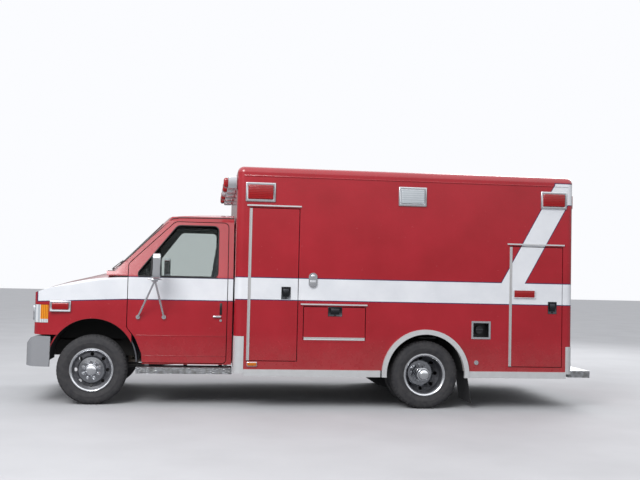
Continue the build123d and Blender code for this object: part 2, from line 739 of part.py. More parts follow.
def cushions():
    """The seats' pads and backs and the bench pad: plain closed forms."""
    pads = []
    for y in (-470, 470):
        pads.append(slab((740, 1230), (y - 240, y + 240), (940 + SEAT, 1070)))
        back = [
            (1180, 1070 + SEAT, 30),
            (1300, 1070 + SEAT, 30),
            (1400, 1780, 40),
            (1310, 1780, 40),
        ]
        pads.append(side_form(back, (y - 240, y + 240)))
    pads.append(slab((2990, CABINET_REAR - 10), (680, 1150), (1190 + SEAT, 1260)))
    return pads


def running_board():
    board = slab((458, MODULE_FRONT - 8), (-1062, -820), (338, 404))
    board = board - slab((470, MODULE_FRONT - 20), (-1050, -812), (330, 396))
    for x in (560, 1390):
        board = board + slab((x - 20, x + 20), (-880, -840), (390, CAB_BOTTOM - SEAT))
    for x in (960, 1340):
        board = board + slab((x - 20, x + 20), (-1050, -RAIL_Y - 30), (384, 396))
        board = board + slab((x - 20, x + 20), (-RAIL_Y - 42, -RAIL_Y - 30), (384, RAIL_BOTTOM + 40))
    return board


# Patient module
def module_block(z, grow=0):
    """The module's plan with its rounded corners, between two heights."""
    front, rear, half = MODULE_FRONT - grow, MODULE_REAR + grow, MODULE_HALF + grow
    radius = CORNER_RADIUS + grow
    plan = [(front, -half, radius), (front, half, radius), (rear, half, radius), (rear, -half, radius)]
    return top_form(plan, z)


def door_box(row, gap, y):
    """The room that a side door takes, grown by a gap."""
    side, x0, x1, z0, z1 = row
    span = (side * y[0], side * y[1])
    return slab((x0 - gap, x1 + gap), (min(span), max(span)), (z0 - gap, z1 + gap))


def locker_shell(row, wall):
    side, x0, x1, z0, z1 = row
    inner_face = MODULE_HALF - WALL
    return door_box((side, x0, x1, z0, z1), DOOR_GAP + wall, (inner_face - LOCKER_DEPTH, inner_face))


def wheel_house(radius, y):
    """The rounded room over the rear tyres, open below."""
    room = cross_bar(radius, WHEELBASE, WHEEL_HOUSE_Z, y)
    return room + slab((WHEELBASE - radius, WHEELBASE + radius), y, (SKIRT_Z - 80, WHEEL_HOUSE_Z))


STEP_WELL_Z = 430


def step_well(grow):
    side, x0, x1, z0, z1 = ENTRY_DOOR
    inner_face = MODULE_HALF - WALL
    return slab(
        (x0 - DOOR_GAP - grow, x1 + DOOR_GAP + grow),
        (inner_face - 380 - grow, inner_face),
        (STEP_WELL_Z - grow, FLOOR_TOP),
    )


FILLER = (WHEELBASE + 515, WHEELBASE + 695, 770, 930)


def filler_room(grow, y):
    x0, x1, z0, z1 = FILLER
    return slab((x0 - grow, x1 + grow), y, (z0 - grow, z1 + grow))


def side_wall(side):
    """A side wall between the corner posts, with its doors and wheel arch cut."""
    y = (-MODULE_HALF, -MODULE_HALF + WALL) if side < 0 else (MODULE_HALF - WALL, MODULE_HALF)
    wall = slab((MODULE_FRONT + POST, MODULE_REAR - POST), y, (SKIRT_Z, EAVES_Z))
    doors = {name: row for name, row in {**LOCKERS, "entry": ENTRY_DOOR}.items() if row[0] == side}
    for name, row in doors.items():
        wall = wall - door_box(row, DOOR_GAP, (MODULE_HALF - WALL - 1, MODULE_HALF + 1))
        wall = wall + side_hinge(name, row)[1]
    wall = wall - wheel_house(WHEEL_CUT_RADIUS, (-1300, 1300))
    if side < 0:
        wall = wall - filler_room(0, (-1300, -1100))
    return wall


def end_wall(x, outer_x):
    """A front or rear wall with its two rounded corner posts."""
    ring = module_block((SKIRT_Z, EAVES_Z)) & slab(x, (-1300, 1300), (SKIRT_Z, EAVES_Z))
    post_side = MODULE_HALF - WALL
    if outer_x < x[1]:
        hollow = slab((x[0] + WALL, x[1] + 1), (-post_side, post_side), (0, 3000))
    else:
        hollow = slab((x[0] - 1, x[1] - WALL), (-post_side, post_side), (0, 3000))
    return ring - hollow


def front_wall():
    wall = end_wall((MODULE_FRONT, MODULE_FRONT + POST), MODULE_FRONT)
    wall = wall - slab((MODULE_FRONT - 62, MODULE_FRONT + 138), (-700, 700), (300, FLOOR_TOP - FLOOR_THICK))
    return wall - slab((MODULE_FRONT - 62, MODULE_FRONT + 138), (-380, 380), (FLOOR_TOP, 1960))


def rear_wall():
    wall = end_wall((MODULE_REAR - POST, MODULE_REAR), MODULE_REAR)
    z0, z1 = REAR_DOOR_Z
    half = REAR_DOOR_HALF + DOOR_GAP
    wall = wall - slab((MODULE_REAR - 142, MODULE_REAR + 58), (-half, half), (z0 - DOOR_GAP, z1 + DOOR_GAP))
    fixed = rear_hinge()[1]
    return wall + fixed + other_side(fixed)


def roof():
    """The roof skin with its rounded edge, turned down to the eaves."""
    skin = module_block((EAVES_Z, ROOF_Z))
    skin = fillet(skin.faces().sort_by(Axis.Z)[-1].edges(), 64)
    inner = slab(
        (MODULE_FRONT + WALL, MODULE_REAR - WALL),
        (-MODULE_HALF + WALL, MODULE_HALF - WALL),
        (EAVES_Z - 1, ROOF_Z - WALL),
    )
    return skin - inner


def module_floor():
    """The floor with the wheel houses and the step well let into it."""
    inner_face = MODULE_HALF - WALL
    x = (MODULE_FRONT + WALL, MODULE_REAR - WALL)
    floor = slab(x, (-inner_face, inner_face), (FLOOR_TOP - FLOOR_THICK, FLOOR_TOP))
    house = wheel_house(WHEEL_CUT_RADIUS + LINER, (-inner_face, -WHEEL_HOUSE_Y)) & slab(
        (0, MODULE_REAR), (-inner_face, 0), (SKIRT_Z, 1200)
    )
    room = wheel_house(WHEEL_CUT_RADIUS, (-inner_face - 1, -WHEEL_HOUSE_Y - LINER))
    under = slab((WHEELBASE - 300, WHEELBASE + 300), (-WHEEL_HOUSE_Y - LINER - 1, -WHEEL_HOUSE_Y + 1),
                 (SKIRT_Z - 90, FLOOR_TOP - FLOOR_THICK))
    for shape in both(house):
        floor = floor + shape
    well = step_well(LINER)
    floor = floor + well - step_well(0) - slab(
        (ENTRY_DOOR[1] - DOOR_GAP, ENTRY_DOOR[2] + DOOR_GAP), (inner_face - 380, inner_face + 5),
        (STEP_WELL_Z, FLOOR_TOP + 10)
    )
    for row in LOCKERS.values():
        floor = floor - locker_shell(row, LINER)
    for shape in both(room) + both(under):
        floor = floor - shape
    return floor - filler_room(LINER, (-inner_face, -inner_face + 130))


def lockers():
    """Five-sided boxes behind the locker doors."""
    inner_face = MODULE_HALF - WALL
    boxes = []
    for row in LOCKERS.values():
        side = row[0]
        hollow = door_box(row, DOOR_GAP, (inner_face - LOCKER_DEPTH + LINER, inner_face + 1))
        boxes.append(locker_shell(row, LINER) - hollow)
    return boxes


def cabinets():
    """Cupboards along the driver's side and the bench box on the other."""
    inner_face = MODULE_HALF - WALL
    low = slab((2900, CABINET_REAR), (-inner_face, -700), (880, 1230))
    high = slab((2200, CABINET_REAR), (-inner_face, -760), (1620, EAVES_Z - 20))
    bench = slab((2980, CABINET_REAR), (670, inner_face), (880, 1190))
    low = low - filler_room(LINER + 2, (-inner_face - 1, -inner_face + 130))
    return [low, high, bench]


def module_door(row):
    return door_box(row, 0, (MODULE_HALF - MODULE_DOOR_THICK, MODULE_HALF))


def upright_hinge(row):
    """The barrel and leaf on a side door's front edge, and the leaf on the wall beside them."""
    side, x0, x1, z0, z1 = row
    x, y = x0 - HINGE_OUT, side * (MODULE_HALF + HINGE_OUT)
    leaf_y = (MODULE_HALF, MODULE_HALF + HINGE_LEAF)
    barrel = rod(HINGE_RADIUS, (x, y, z0), (x, y, z1))
    leaf = door_box((side, x, x + HINGE_WIDE, z0, z1), 0, leaf_y)
    fixed = door_box((side, x - HINGE_WIDE, x - HINGE_RADIUS - SEAT, z0, z1), 0, leaf_y)
    return barrel + leaf, fixed


def level_hinge(row):
    """The same hinge along a door's bottom edge."""
    side, x0, x1, z0, z1 = row
    z, y = z0 - HINGE_OUT, side * (MODULE_HALF + HINGE_OUT)
    leaf_y = (MODULE_HALF, MODULE_HALF + HINGE_LEAF)
    barrel = rod(HINGE_RADIUS, (x0, y, z), (x1, y, z))
    leaf = door_box((side, x0, x1, z, z + HINGE_WIDE), 0, leaf_y)
    fixed = door_box((side, x0, x1, z - HINGE_WIDE, z - HINGE_RADIUS - SEAT), 0, leaf_y)
    return barrel + leaf, fixed


def rear_hinge():
    """The hinge on the outer edge of the driver's side rear door."""
    x, y = MODULE_REAR + HINGE_OUT, -REAR_DOOR_HALF - HINGE_OUT
    leaf_x = (MODULE_REAR, MODULE_REAR + HINGE_LEAF)
    barrel = rod(HINGE_RADIUS, (x, y, REAR_DOOR_Z[0]), (x, y, REAR_DOOR_Z[1]))
    leaf = slab(leaf_x, (y, y + HINGE_WIDE), REAR_DOOR_Z)
    fixed = slab(leaf_x, (y - HINGE_WIDE, y - HINGE_RADIUS - SEAT), REAR_DOOR_Z)
    return barrel + leaf, fixed


def side_hinge(name, row):
    return level_hinge(row) if name in DROP_DOORS else upright_hinge(row)


def door_marker(side):
    """The marker lamp that a rear locker's door carries."""
    x0, x1, z0, z1 = DOOR_MARKER
    return door_box((side, x0, x1, z0, z1), 0, (MODULE_HALF, MODULE_HALF + MARKER_DEPTH))


ENTRY_WINDOW = (2260, 2740, 1500, 2120)
REAR_WINDOW = (110, 510, 1500, 2080)


def entry_door():
    x0, x1, z0, z1 = ENTRY_WINDOW
    return module_door(ENTRY_DOOR) + upright_hinge(ENTRY_DOOR)[0] - slab((x0, x1), (1100, 1300), (z0, z1))


def entry_glass():
    x0, x1, z0, z1 = ENTRY_WINDOW
    return slab((x0 + SEAT, x1 - SEAT), (MODULE_HALF - 26, MODULE_HALF - 20), (z0 + SEAT, z1 - SEAT))


def rear_door():
    y0, y1, z0, z1 = REAR_WINDOW
    door = slab((MODULE_REAR - MODULE_DOOR_THICK, MODULE_REAR), (-REAR_DOOR_HALF, -DOOR_GAP / 2), REAR_DOOR_Z)
    return door + rear_hinge()[0] - slab((MODULE_REAR - 142, MODULE_REAR + 58), (-y1, -y0), (z0, z1))


def rear_glass():
    y0, y1, z0, z1 = REAR_WINDOW
    return slab((MODULE_REAR - 26, MODULE_REAR - 20), (-y1 + SEAT, -y0 - SEAT), (z0 + SEAT, z1 - SEAT))


# Outside fittings of the module
SIDE_LAMPS = {
    "warning_front": (MODULE_FRONT + 87, MODULE_FRONT + 401, EAVES_Z - 271, EAVES_Z - 69, "red"),
    "scene": (3180, 3486, EAVES_Z - 269, EAVES_Z - 63, "clear"),
    "warning_rear": (MODULE_REAR - 382, MODULE_REAR - 87, EAVES_Z - 249, EAVES_Z - 61, "red"),
    "marker_front": (1602, 1711, 438, 486, "amber"),
}
DOOR_MARKER = (REAR_LOCKER_X[0] + 38, REAR_LOCKER_X[0] + 275, 1206, 1290)
MARKED_DOORS = ("left_rear_locker", "right_rear_locker")
MARKER_DEPTH = 20
LAMP_DEPTH = 34
BEZEL = 24


def lamp(x, z, border):
    """A bezel on the wall and the lens inside it, on the driver's side."""
    face = -MODULE_HALF
    bezel = slab(x, (face - 16, face), z)
    inner = slab((x[0] + border, x[1] - border), (face - 60, face + 1), (z[0] + border, z[1] - border))
    lens = slab((x[0] + border, x[1] - border), (face - LAMP_DEPTH, face), (z[0] + border, z[1] - border))
    return bezel - inner, lens


def rear_lamp(y, z, border):
    face = MODULE_REAR
    bezel = slab((face, face + 16), y, z)
    inner = slab((face - 1, face + 60), (y[0] + border, y[1] - border), (z[0] + border, z[1] - border))
    lens = slab((face, face + LAMP_DEPTH), (y[0] + border, y[1] - border), (z[0] + border, z[1] - border))
    return bezel - inner, lens


REAR_LAMPS = {
    "warning": (97 - MODULE_HALF, 387 - MODULE_HALF, EAVES_Z - 249, EAVES_Z - 69, "red"),
    "tail": (117 - MODULE_HALF, 307 - MODULE_HALF, 660, 760, "red"),
    "reverse": (327 - MODULE_HALF, 487 - MODULE_HALF, 660, 760, "clear"),
}


def make_lamps():
    bezels, reds, clears = [], [], []
    for x0, x1, z0, z1, colour in SIDE_LAMPS.values():
        border = BEZEL if z1 - z0 > 100 else 6
        bezel, lens = lamp((x0, x1), (z0, z1), border)
        bezels += both(bezel)
        (clears if colour == "clear" else reds).extend(both(lens))
    for y0, y1, z0, z1, colour in REAR_LAMPS.values():
        bezel, lens = rear_lamp((y0, y1), (z0, z1), 14)
        bezels += both(bezel)
        (clears if colour == "clear" else reds).extend(both(lens))
    for y, colour in ((147 - MODULE_HALF, "red"), (-530, "red"), (0, "clear")):
        pod = fillet(slab((MODULE_FRONT - 100, MODULE_FRONT), (y - 100, y + 100), (EAVES_Z - 139, EAVES_Z - 5))
                     .edges().filter_by(Axis.X), 22)
        glass = slab((MODULE_FRONT - 145, MODULE_FRONT - 100), (y - 88, y + 88), (EAVES_Z - 127, EAVES_Z - 17))
        glass = fillet(glass.faces().sort_by(Axis.X)[0].edges(), 30)
        bezels += both(pod) if y else [pod]
        (clears if colour == "clear" else reds).extend(both(glass) if y else [glass])
    fender_bezel = slab((-439, -224), (-1024, -980), (963, 1078)) - (nose_plan((900, 1100)) & cab_section(0))
    fender_lens = slab((-419, -244), (-1036, -1024), (983, 1058))
    bezels += both(fender_bezel)
    reds += both(fender_lens)
    node("lamp_housings", bezels)
    node("red_lenses", reds)
    node("clear_lenses", clears)


FRONT_GUARD_END = MODULE_FRONT + 104
CORNER_GUARDS = (((MODULE_FRONT - 22, FRONT_GUARD_END), (363, 749)),
                 ((MODULE_REAR - 81, MODULE_REAR + 18), (384, 681)))
GUARD_THICK = 4


def skirt_trim():
    """Rub rails, corner guards, drip rails and the bright rings round the wheel arches."""
    face = -MODULE_HALF
    pieces, drips = [], []
    for x in ((FRONT_GUARD_END + 1, WHEELBASE - 490), (WHEELBASE + 475, MODULE_REAR - POST)):
        pieces.append(slab(x, (face - 18, face + 40), (338, SKIRT_Z)))
    for x, z in CORNER_GUARDS:
        shell = module_block(z, GUARD_THICK) - module_block((z[0] - 1, z[1] + 1))
        pieces.append(shell & slab(x, (face - GUARD_THICK, face + CORNER_RADIUS + 10), z))
    for side, x0, x1, z0, z1 in (*LOCKERS.values(), ENTRY_DOOR):
        rail_z = z1 + DOOR_GAP + 14
        row = (side, x0 - 36, x1 + 20, rail_z, rail_z + 14)
        drips.append(door_box(row, 0, (MODULE_HALF, MODULE_HALF + 16)))
    ring = cross_bar(WHEEL_CUT_RADIUS + 45, WHEELBASE, WHEEL_HOUSE_Z, (face - 32, face))
    ring = ring - cross_bar(WHEEL_CUT_RADIUS - 6, WHEELBASE, WHEEL_HOUSE_Z, (face - 40, face + 1))
    ring = ring & slab((0, MODULE_REAR), (-1300, 0), (338, 1200))
    pieces.append(ring)
    return [item for piece in pieces for item in both(piece)] + drips


def rear_step():
    """The tread-plate step across the rear, on arms from the frame."""
    half, arm_x = MODULE_HALF - 97, RAIL_REAR - 210
    step = slab((MODULE_REAR + SEAT, REAR_X), (-half, half), (340, 413))
    step = step - slab((MODULE_REAR + 12, REAR_X - 12), (12 - half, half - 12), (330, 401))
    arm = slab((arm_x, REAR_X - 12), (-RAIL_Y - 24, -RAIL_Y + 24), (350, 401))
    hanger = slab((arm_x, arm_x + 100), (-RAIL_Y - 24, -RAIL_Y + 24), (401, RAIL_BOTTOM))
    return step + arm + hanger + other_side(arm + hanger)


def mud_flaps():
    top = WHEELBASE + WHEEL_CUT_RADIUS + LINER + SEAT
    flap = side_form([(top, 470, 0), (top + 8, 470, 0), (top + 76, 62, 0), (top + 66, 62, 0)],
                     (WALL - MODULE_HALF + SEAT, -706))
    return both(flap)


def side_fittings():
    """The fuel filler's bezel and pocket, the round inlet and the oval power inlet."""
    x0, x1, z0, z1 = FILLER
    face = -MODULE_HALF
    bezel = slab((x0 - 16, x1 + 16), (face - 6, face), (z0 - 16, z1 + 16))
    pocket = filler_room(0, (face - 6, face + 120))
    inner = filler_room(-4, (face - 10, face + 112))
    filler = bezel + pocket - inner
    corners = [(2232, 1267, 45), (2323, 1267, 45), (2323, 1425, 45), (2232, 1425, 45)]
    power = side_form(corners, (face - 14, face))
    small = cross_bar(24, WHEELBASE + 556, 502, (face - 10, face))
    return [filler, power, small]


def plate_bracket():
    """The rear plate's bracket, with two holes at the usual spacing."""
    bracket = slab((MODULE_REAR, MODULE_REAR + 6), (-160, 160), (560, 720))
    for y in (-89, 89):
        bracket = bracket - rod(3.5, (MODULE_REAR - 1, y, 700), (MODULE_REAR + 8, y, 700))
    return bracket


def mirror_arm():
    """A tall mirror head on a tripod of tubes from the door."""
    head = slab((620, 690), (-1340, -1160), (1330, 1585))
    head = fillet(head.edges().filter_by(Axis.X), 50)
    apex = (640, -1230, 1312)
    skin = -1007 - SEAT
    legs = rod(11, (463, skin - 14, 922), apex) + rod(11, (731, skin - 14, 926), apex)
    top = rod(11, (600, skin - 8, 1328), apex)
    feet = rod(22, (463, skin - 20, 922), (463, skin, 922)) + rod(22, (731, skin - 20, 926), (731, skin, 926))
    foot = rod(22, (600, skin - 14, 1328), (600, skin, 1328))
    stem = rod(14, apex, (650, -1240, 1360))
    return head + legs + feet + stem + top + foot


def make_all():
    make_wheels()
    node("frame_rails", frame_rails())
    node("front_axle", front_axle())
    node("rear_axle", rear_axle(), leaf_springs())
    node("drive_shaft", drive_shaft())
    node("engine_block", engine())
    node("exhaust", exhaust())
    node("fuel_tank", fuel_tank())
    node("knuckle_left", knuckle())
    node("knuckle_right", other_side(knuckle()))
    node("cab_shell", cab_shell())
    node("windshield", windshield())
    node("front_fenders", both(fender()))
    node("hood", hood())
    node("radiator_panel", radiator_panel())
    node("grille", grille())
    node("headlamps", both(headlamp()))
    node("front_bumper", front_bumper())
    node("cab_interior", cab_interior())
    node("cushions", cushions())
    node("running_boards", both(running_board()))
    door, glass, mirror_piece = cab_door(), cab_door_glass(), mirror_arm()
    for name, shape in (("cab_door", door), ("cab_glass", glass), ("mirror", mirror_piece)):
        node(name + "_left", shape)
        node(name + "_right", other_side(shape))
    node("module_left_wall", side_wall(-1))
    node("module_right_wall", side_wall(1))
    node("module_front_wall", front_wall())
    node("module_rear_wall", rear_wall())
    node("module_roof", roof())
    node("module_floor", module_floor())
    node("locker_boxes", lockers())
    node("cabinets", cabinets())
    for name, row in LOCKERS.items():
        door = module_door(row) + side_hinge(name, row)[0]
        node(name + "_door", door + door_marker(row[0]) if name in MARKED_DOORS else door)
    node("entry_door", entry_door())
    node("entry_glass", entry_glass())
    for name, shape in (("rear_door", rear_door()), ("rear_glass", rear_glass())):
        node(name + "_left", shape)
        node(name + "_right", other_side(shape))
    make_lamps()
    node("skirt_trim", skirt_trim())
    node("rear_step", rear_step())
    node("mud_flaps", mud_flaps())
    node("side_fittings", side_fittings())
    node("plate_bracket", plate_bracket())


def save():
    """Writes each piece, moved so that the origin is under the middle of the vehicle."""
    os.makedirs("parts", exist_ok=True)
    for name, solids in NODES.items():
        placed = [Pos(-MIDDLE_X, 0, 0) * solid for solid in solids]
        export_step(Compound(placed), f"parts/{name}.step")
    print(len(NODES), "pieces")


make_all()
save()
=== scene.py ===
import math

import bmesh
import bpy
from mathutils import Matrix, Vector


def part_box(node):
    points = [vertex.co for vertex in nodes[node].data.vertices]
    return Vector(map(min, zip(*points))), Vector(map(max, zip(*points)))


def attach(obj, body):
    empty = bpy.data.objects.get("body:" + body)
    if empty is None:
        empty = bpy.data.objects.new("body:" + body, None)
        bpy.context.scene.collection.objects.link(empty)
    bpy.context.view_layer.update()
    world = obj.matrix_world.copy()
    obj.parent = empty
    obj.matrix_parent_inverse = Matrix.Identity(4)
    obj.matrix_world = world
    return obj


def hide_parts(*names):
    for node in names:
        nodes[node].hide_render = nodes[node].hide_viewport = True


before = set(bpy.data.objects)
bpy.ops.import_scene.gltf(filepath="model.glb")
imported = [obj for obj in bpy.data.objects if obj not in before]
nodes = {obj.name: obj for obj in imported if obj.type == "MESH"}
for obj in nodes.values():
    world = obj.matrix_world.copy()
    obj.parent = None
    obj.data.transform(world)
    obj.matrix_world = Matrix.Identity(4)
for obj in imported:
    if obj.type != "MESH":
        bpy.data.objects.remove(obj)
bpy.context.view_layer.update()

# %% [markdown]
# # An ambulance on a van chassis, dressed in Blender
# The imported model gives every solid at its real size. This notebook gives each one its finish
# and adds the trim that is too small for the solids: lamps, hinges, latches, treads and seats.
# All lengths below are written in millimetres from the front axle, as a body builder's
# drawing has them, and one function turns them into metres in the frame.

scene = bpy.context.scene

# %% [markdown]
# ## The frame's place
# The drawing's zero is the front axle, on the ground. The module's front wall stands a known
# distance behind it, so reading that wall's box gives the shift from the drawing to the frame.

# %% From the drawing to the frame
MM = 0.001
MODULE_FRONT = 1462
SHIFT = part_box("module_front_wall")[0].x - MODULE_FRONT * MM
MODULE_REAR = 5142
HINGE_LEAF = 3
WALL_Y = -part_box("module_left_wall")[0].y / MM - HINGE_LEAF
HUB_Z, REAR_X = 362, 3505


def at(x, y, z):
    """A point of the drawing, in the frame's metres."""
    return Vector((x * MM + SHIFT, y * MM, z * MM))


print("shift", round(SHIFT, 4), "half width", round(WALL_Y, 1))

# %% [markdown]
# ## Camera, light and floor
# The view is that of the photograph: a little left of the middle, at eye height, some ten
# metres away. The light is a pale even sky with one large soft lamp, because gloss paint and
# chrome are judged by what they mirror. The sky is pure white for rays that come straight
# from the camera, and calmer for the light that falls on the object.

# %% Camera
EYE = (1165.4, -10631.6, 1383.6)
YAW, PITCH, ROLL = -7.122, 2.349, -1.284
FOCAL = 50.625


def turn(degrees, axis):
    return Matrix.Rotation(math.radians(degrees), 4, axis)


camera_data = bpy.data.cameras.new("view")
camera_data.lens = FOCAL
camera_data.sensor_width = 36
camera_data.clip_end = 200
camera = bpy.data.objects.new("view", camera_data)
camera.matrix_world = (Matrix.Translation(at(*EYE)) @ turn(YAW, "Z") @ turn(PITCH, "X")
                       @ turn(ROLL, "Y") @ turn(90, "X"))
scene.collection.objects.link(camera)
scene.camera = camera
scene.view_settings.view_transform = "Standard"

# %% Small helpers for colours and shader nodes
def colour(code):
    """An sRGB hex code as linear red, green, blue and alpha."""
    parts = [int(code[i:i + 2], 16) / 255 for i in (1, 3, 5)]
    return [c / 12.92 if c < 0.04045 else ((c + 0.055) / 1.055) ** 2.4 for c in parts] + [1.0]


def add(tree, kind, inputs=None, **settings):
    """One shader node and its settings; its inputs are values, or nodes and sockets to link."""
    made = tree.nodes.new("ShaderNode" + kind)
    for name, value in settings.items():
        setattr(made, name, value)
    for name, value in (inputs or {}).items():
        if isinstance(value, bpy.types.Node):
            value = next(socket for socket in value.outputs if socket.enabled)
        if isinstance(value, bpy.types.NodeSocket):
            tree.links.new(value, made.inputs[name])
        else:
            made.inputs[name].default_value = value
    return made


def new_material(name):
    made = bpy.data.materials.new(name)
    made.use_nodes = True
    made.node_tree.nodes.clear()
    return made, made.node_tree


def finish_material(made, shader):
    add(made.node_tree, "OutputMaterial", {"Surface": shader})
    return made


def object_point(tree):
    return add(tree, "TexCoord").outputs["Object"]


def grain(tree, size_mm, detail=4.0, rough=0.55):
    """Noise whose blobs are about size_mm across."""
    return add(tree, "TexNoise", {"Vector": object_point(tree), "Scale": 1000 / size_mm,
                                  "Detail": detail, "Roughness": rough})


def two_tones(tree, pattern, dark, light, start=0.3, end=0.7):
    """Two close tones of one finish, blended while the pattern runs from start to end."""
    made = add(tree, "ValToRGB", {0: pattern})
    for stop, place, code in zip(made.color_ramp.elements, (start, end), (dark, light)):
        stop.position = place
        stop.color = colour(code)
    return made


# %% Sky
world = bpy.data.worlds.new("sky")
scene.world = world
world.use_nodes = True
sky = world.node_tree
sky.nodes.clear()
SKY_LIGHT = 0.72
path = add(sky, "LightPath").outputs
seen = add(sky, "Math", {0: path["Is Camera Ray"], 1: path["Is Transmission Ray"]},
           operation="MAXIMUM")
up = add(sky, "SeparateXYZ", {0: add(sky, "TexCoord").outputs["Generated"]}).outputs[2]
dome = add(sky, "MapRange", {"Value": up, "From Min": -0.05, "From Max": 0.75,
                             "To Min": SKY_LIGHT * 0.4, "To Max": SKY_LIGHT * 1.35})
mirrored = add(sky, "MapRange", {"Value": up, "From Min": 0.02, "From Max": 0.45,
                                 "To Min": 0.2, "To Max": 1.5})
lit = add(sky, "Mix", {0: path["Is Glossy Ray"], 2: dome, 3: mirrored})
power = add(sky, "Mix", {0: seen, 2: lit, 3: 1.0})
back = add(sky, "Background", {"Color": colour("#FBFCFF"), "Strength": power})
add(sky, "OutputWorld", {"Surface": back})


# %% Lamps of the studio
def soft_lamp(name, place, aim, size, watts):
    data = bpy.data.lights.new(name, "AREA")
    data.size = size
    data.energy = watts
    made = bpy.data.objects.new(name, data)
    made.location = place
    made.rotation_euler = (Vector(aim) - Vector(place)).to_track_quat("-Z", "Y").to_euler()
    scene.collection.objects.link(made)


soft_lamp("key", (-5.5, -9.5, 8.5), (0, 0, 1.0), 6.0, 1150)
soft_lamp("rim", (6.0, 7.0, 6.5), (0, 0, 1.2), 5.0, 420)

# %% Floor
floor_material, tree = new_material("studio_floor")
mottle = two_tones(tree, grain(tree, 900), "#B4B5B8", "#BCBDC0")
matte = add(tree, "BsdfPrincipled", {"Base Color": mottle, "Roughness": 0.85})
glow = add(tree, "Emission", {"Color": colour("#7C7D81"), "Strength": 1.0})
mirror_ray = add(tree, "LightPath").outputs["Is Glossy Ray"]
finish_material(floor_material, add(tree, "MixShader", {0: mirror_ray, 1: matte, 2: glow}))


def as_object(name, form):
    """Turns a finished bmesh into an object of the scene."""
    made = bpy.data.objects.new(name, bpy.data.meshes.new(name))
    form.to_mesh(made.data)
    form.free()
    scene.collection.objects.link(made)
    return made


form = bmesh.new()
bmesh.ops.create_grid(form, x_segments=1, y_segments=1, size=60)
floor = as_object("floor", form)
floor.data.materials.append(floor_material)

# %% [markdown]
# ## Masks from places on the drawing
# Some parts carry two finishes, such as paint outside and laminate inside. Cutting the mesh
# would be one way. Here a material asks where each point lies on the drawing, and gets 1 or 0
# back, so the solids stay whole and the line is as sharp as the real one.


# %% Place, masks and distance from an axle
def drawing_place(tree):
    """Millimetres of a point: back from the front axle, out from the middle, and up."""
    moved = add(tree, "VectorMath", {0: object_point(tree), 1: (SHIFT, 0, 0)},
                operation="SUBTRACT")
    axes = add(tree, "SeparateXYZ", {0: add(tree, "VectorMath", {0: moved, "Scale": 1 / MM},
                                            operation="SCALE")}).outputs
    return axes[0], add(tree, "Math", {0: axes[1]}, operation="ABSOLUTE"), axes[2]


def above(tree, value, limit):
    return add(tree, "Math", {0: value, 1: limit}, operation="GREATER_THAN")


def below(tree, value, limit):
    return add(tree, "Math", {0: value, 1: limit}, operation="LESS_THAN")


def every(tree, *masks, operation="MULTIPLY"):
    """The product of masks, which is 1 where all of them are 1."""
    total = masks[0]
    for mask in masks[1:]:
        total = add(tree, "Math", {0: total, 1: mask}, operation=operation)
    return total


def either(tree, *masks):
    """The largest of masks, which is 1 where one of them is 1."""
    return every(tree, *masks, operation="MAXIMUM")


def from_axle(tree, x, z, axle_x, axle_z):
    """Distance of a point from an axle that runs across the vehicle."""
    point = add(tree, "CombineXYZ", {0: x, 2: z})
    return add(tree, "VectorMath", {0: point, 1: (axle_x, 0, axle_z)}, operation="DISTANCE")


# %% [markdown]
# ## Body paint
# The body is sprayed steel and aluminium in deep red, with a wide white belt edged by thin
# navy lines. On the real vehicle the belt is a film that runs over doors and panels alike.
# Here it is a mask, so it runs on unbroken from the cab to the rear and still moves with a
# door that opens. Clear coat gives the gloss, a fine ripple the look of sprayed lacquer, and
# dust gathers low down.

# %% Where the white belt lies
CAB_END = MODULE_FRONT - 12
BELT = (1136, 1360)
CAB_BELT_TOP = 1337
CAB_BELT_LOW = ((-600, 1069), (352, 1110))
CAB_BELT_INNER = 952
SLASH_LOW = ((4333, 4592), 1362)
SLASH_TOP = ((4763, 5025), 2150)
SLASH_END, SLASH_INNER = 2442, 1100
CORNER_PATCH = (4925, 2230, 2457)
PATCH_INNER = 960
PINSTRIPE = 9


def belt_mask(tree, grow):
    """1 inside the belt, grown all round by some millimetres, and each point's height."""
    x, y, z = drawing_place(tree)
    belt = every(tree, above(tree, x, CAB_END), above(tree, z, BELT[0] - grow),
                 below(tree, z, BELT[1] + grow))
    (x0, z0), (x1, z1) = CAB_BELT_LOW
    slope = (z1 - z0) / (x1 - x0)
    ahead = add(tree, "Math", {0: x, 1: x1}, operation="MINIMUM")
    low = add(tree, "Math", {0: ahead, 1: slope, 2: z0 - x0 * slope - grow},
              operation="MULTIPLY_ADD")
    cab = every(tree, below(tree, x, CAB_END), above(tree, z, low),
                below(tree, z, CAB_BELT_TOP + grow), above(tree, y, CAB_BELT_INNER - grow))
    sides = []
    for side, wider in ((0, -grow), (1, grow)):
        run = (SLASH_TOP[0][side] - SLASH_LOW[0][side]) / (SLASH_TOP[1] - SLASH_LOW[1])
        foot = SLASH_LOW[0][side] - SLASH_LOW[1] * run + wider
        sides.append(add(tree, "Math", {0: z, 1: run, 2: foot}, operation="MULTIPLY_ADD"))
    slash = every(tree, above(tree, x, sides[0]), below(tree, x, sides[1]),
                  above(tree, z, BELT[1]), below(tree, z, SLASH_END + grow),
                  above(tree, y, SLASH_INNER))
    patch = every(tree, above(tree, x, CORNER_PATCH[0] - grow),
                  above(tree, z, CORNER_PATCH[1] - grow),
                  below(tree, z, CORNER_PATCH[2] + grow), above(tree, y, PATCH_INNER - grow))
    return either(tree, belt, cab, slash, patch), z


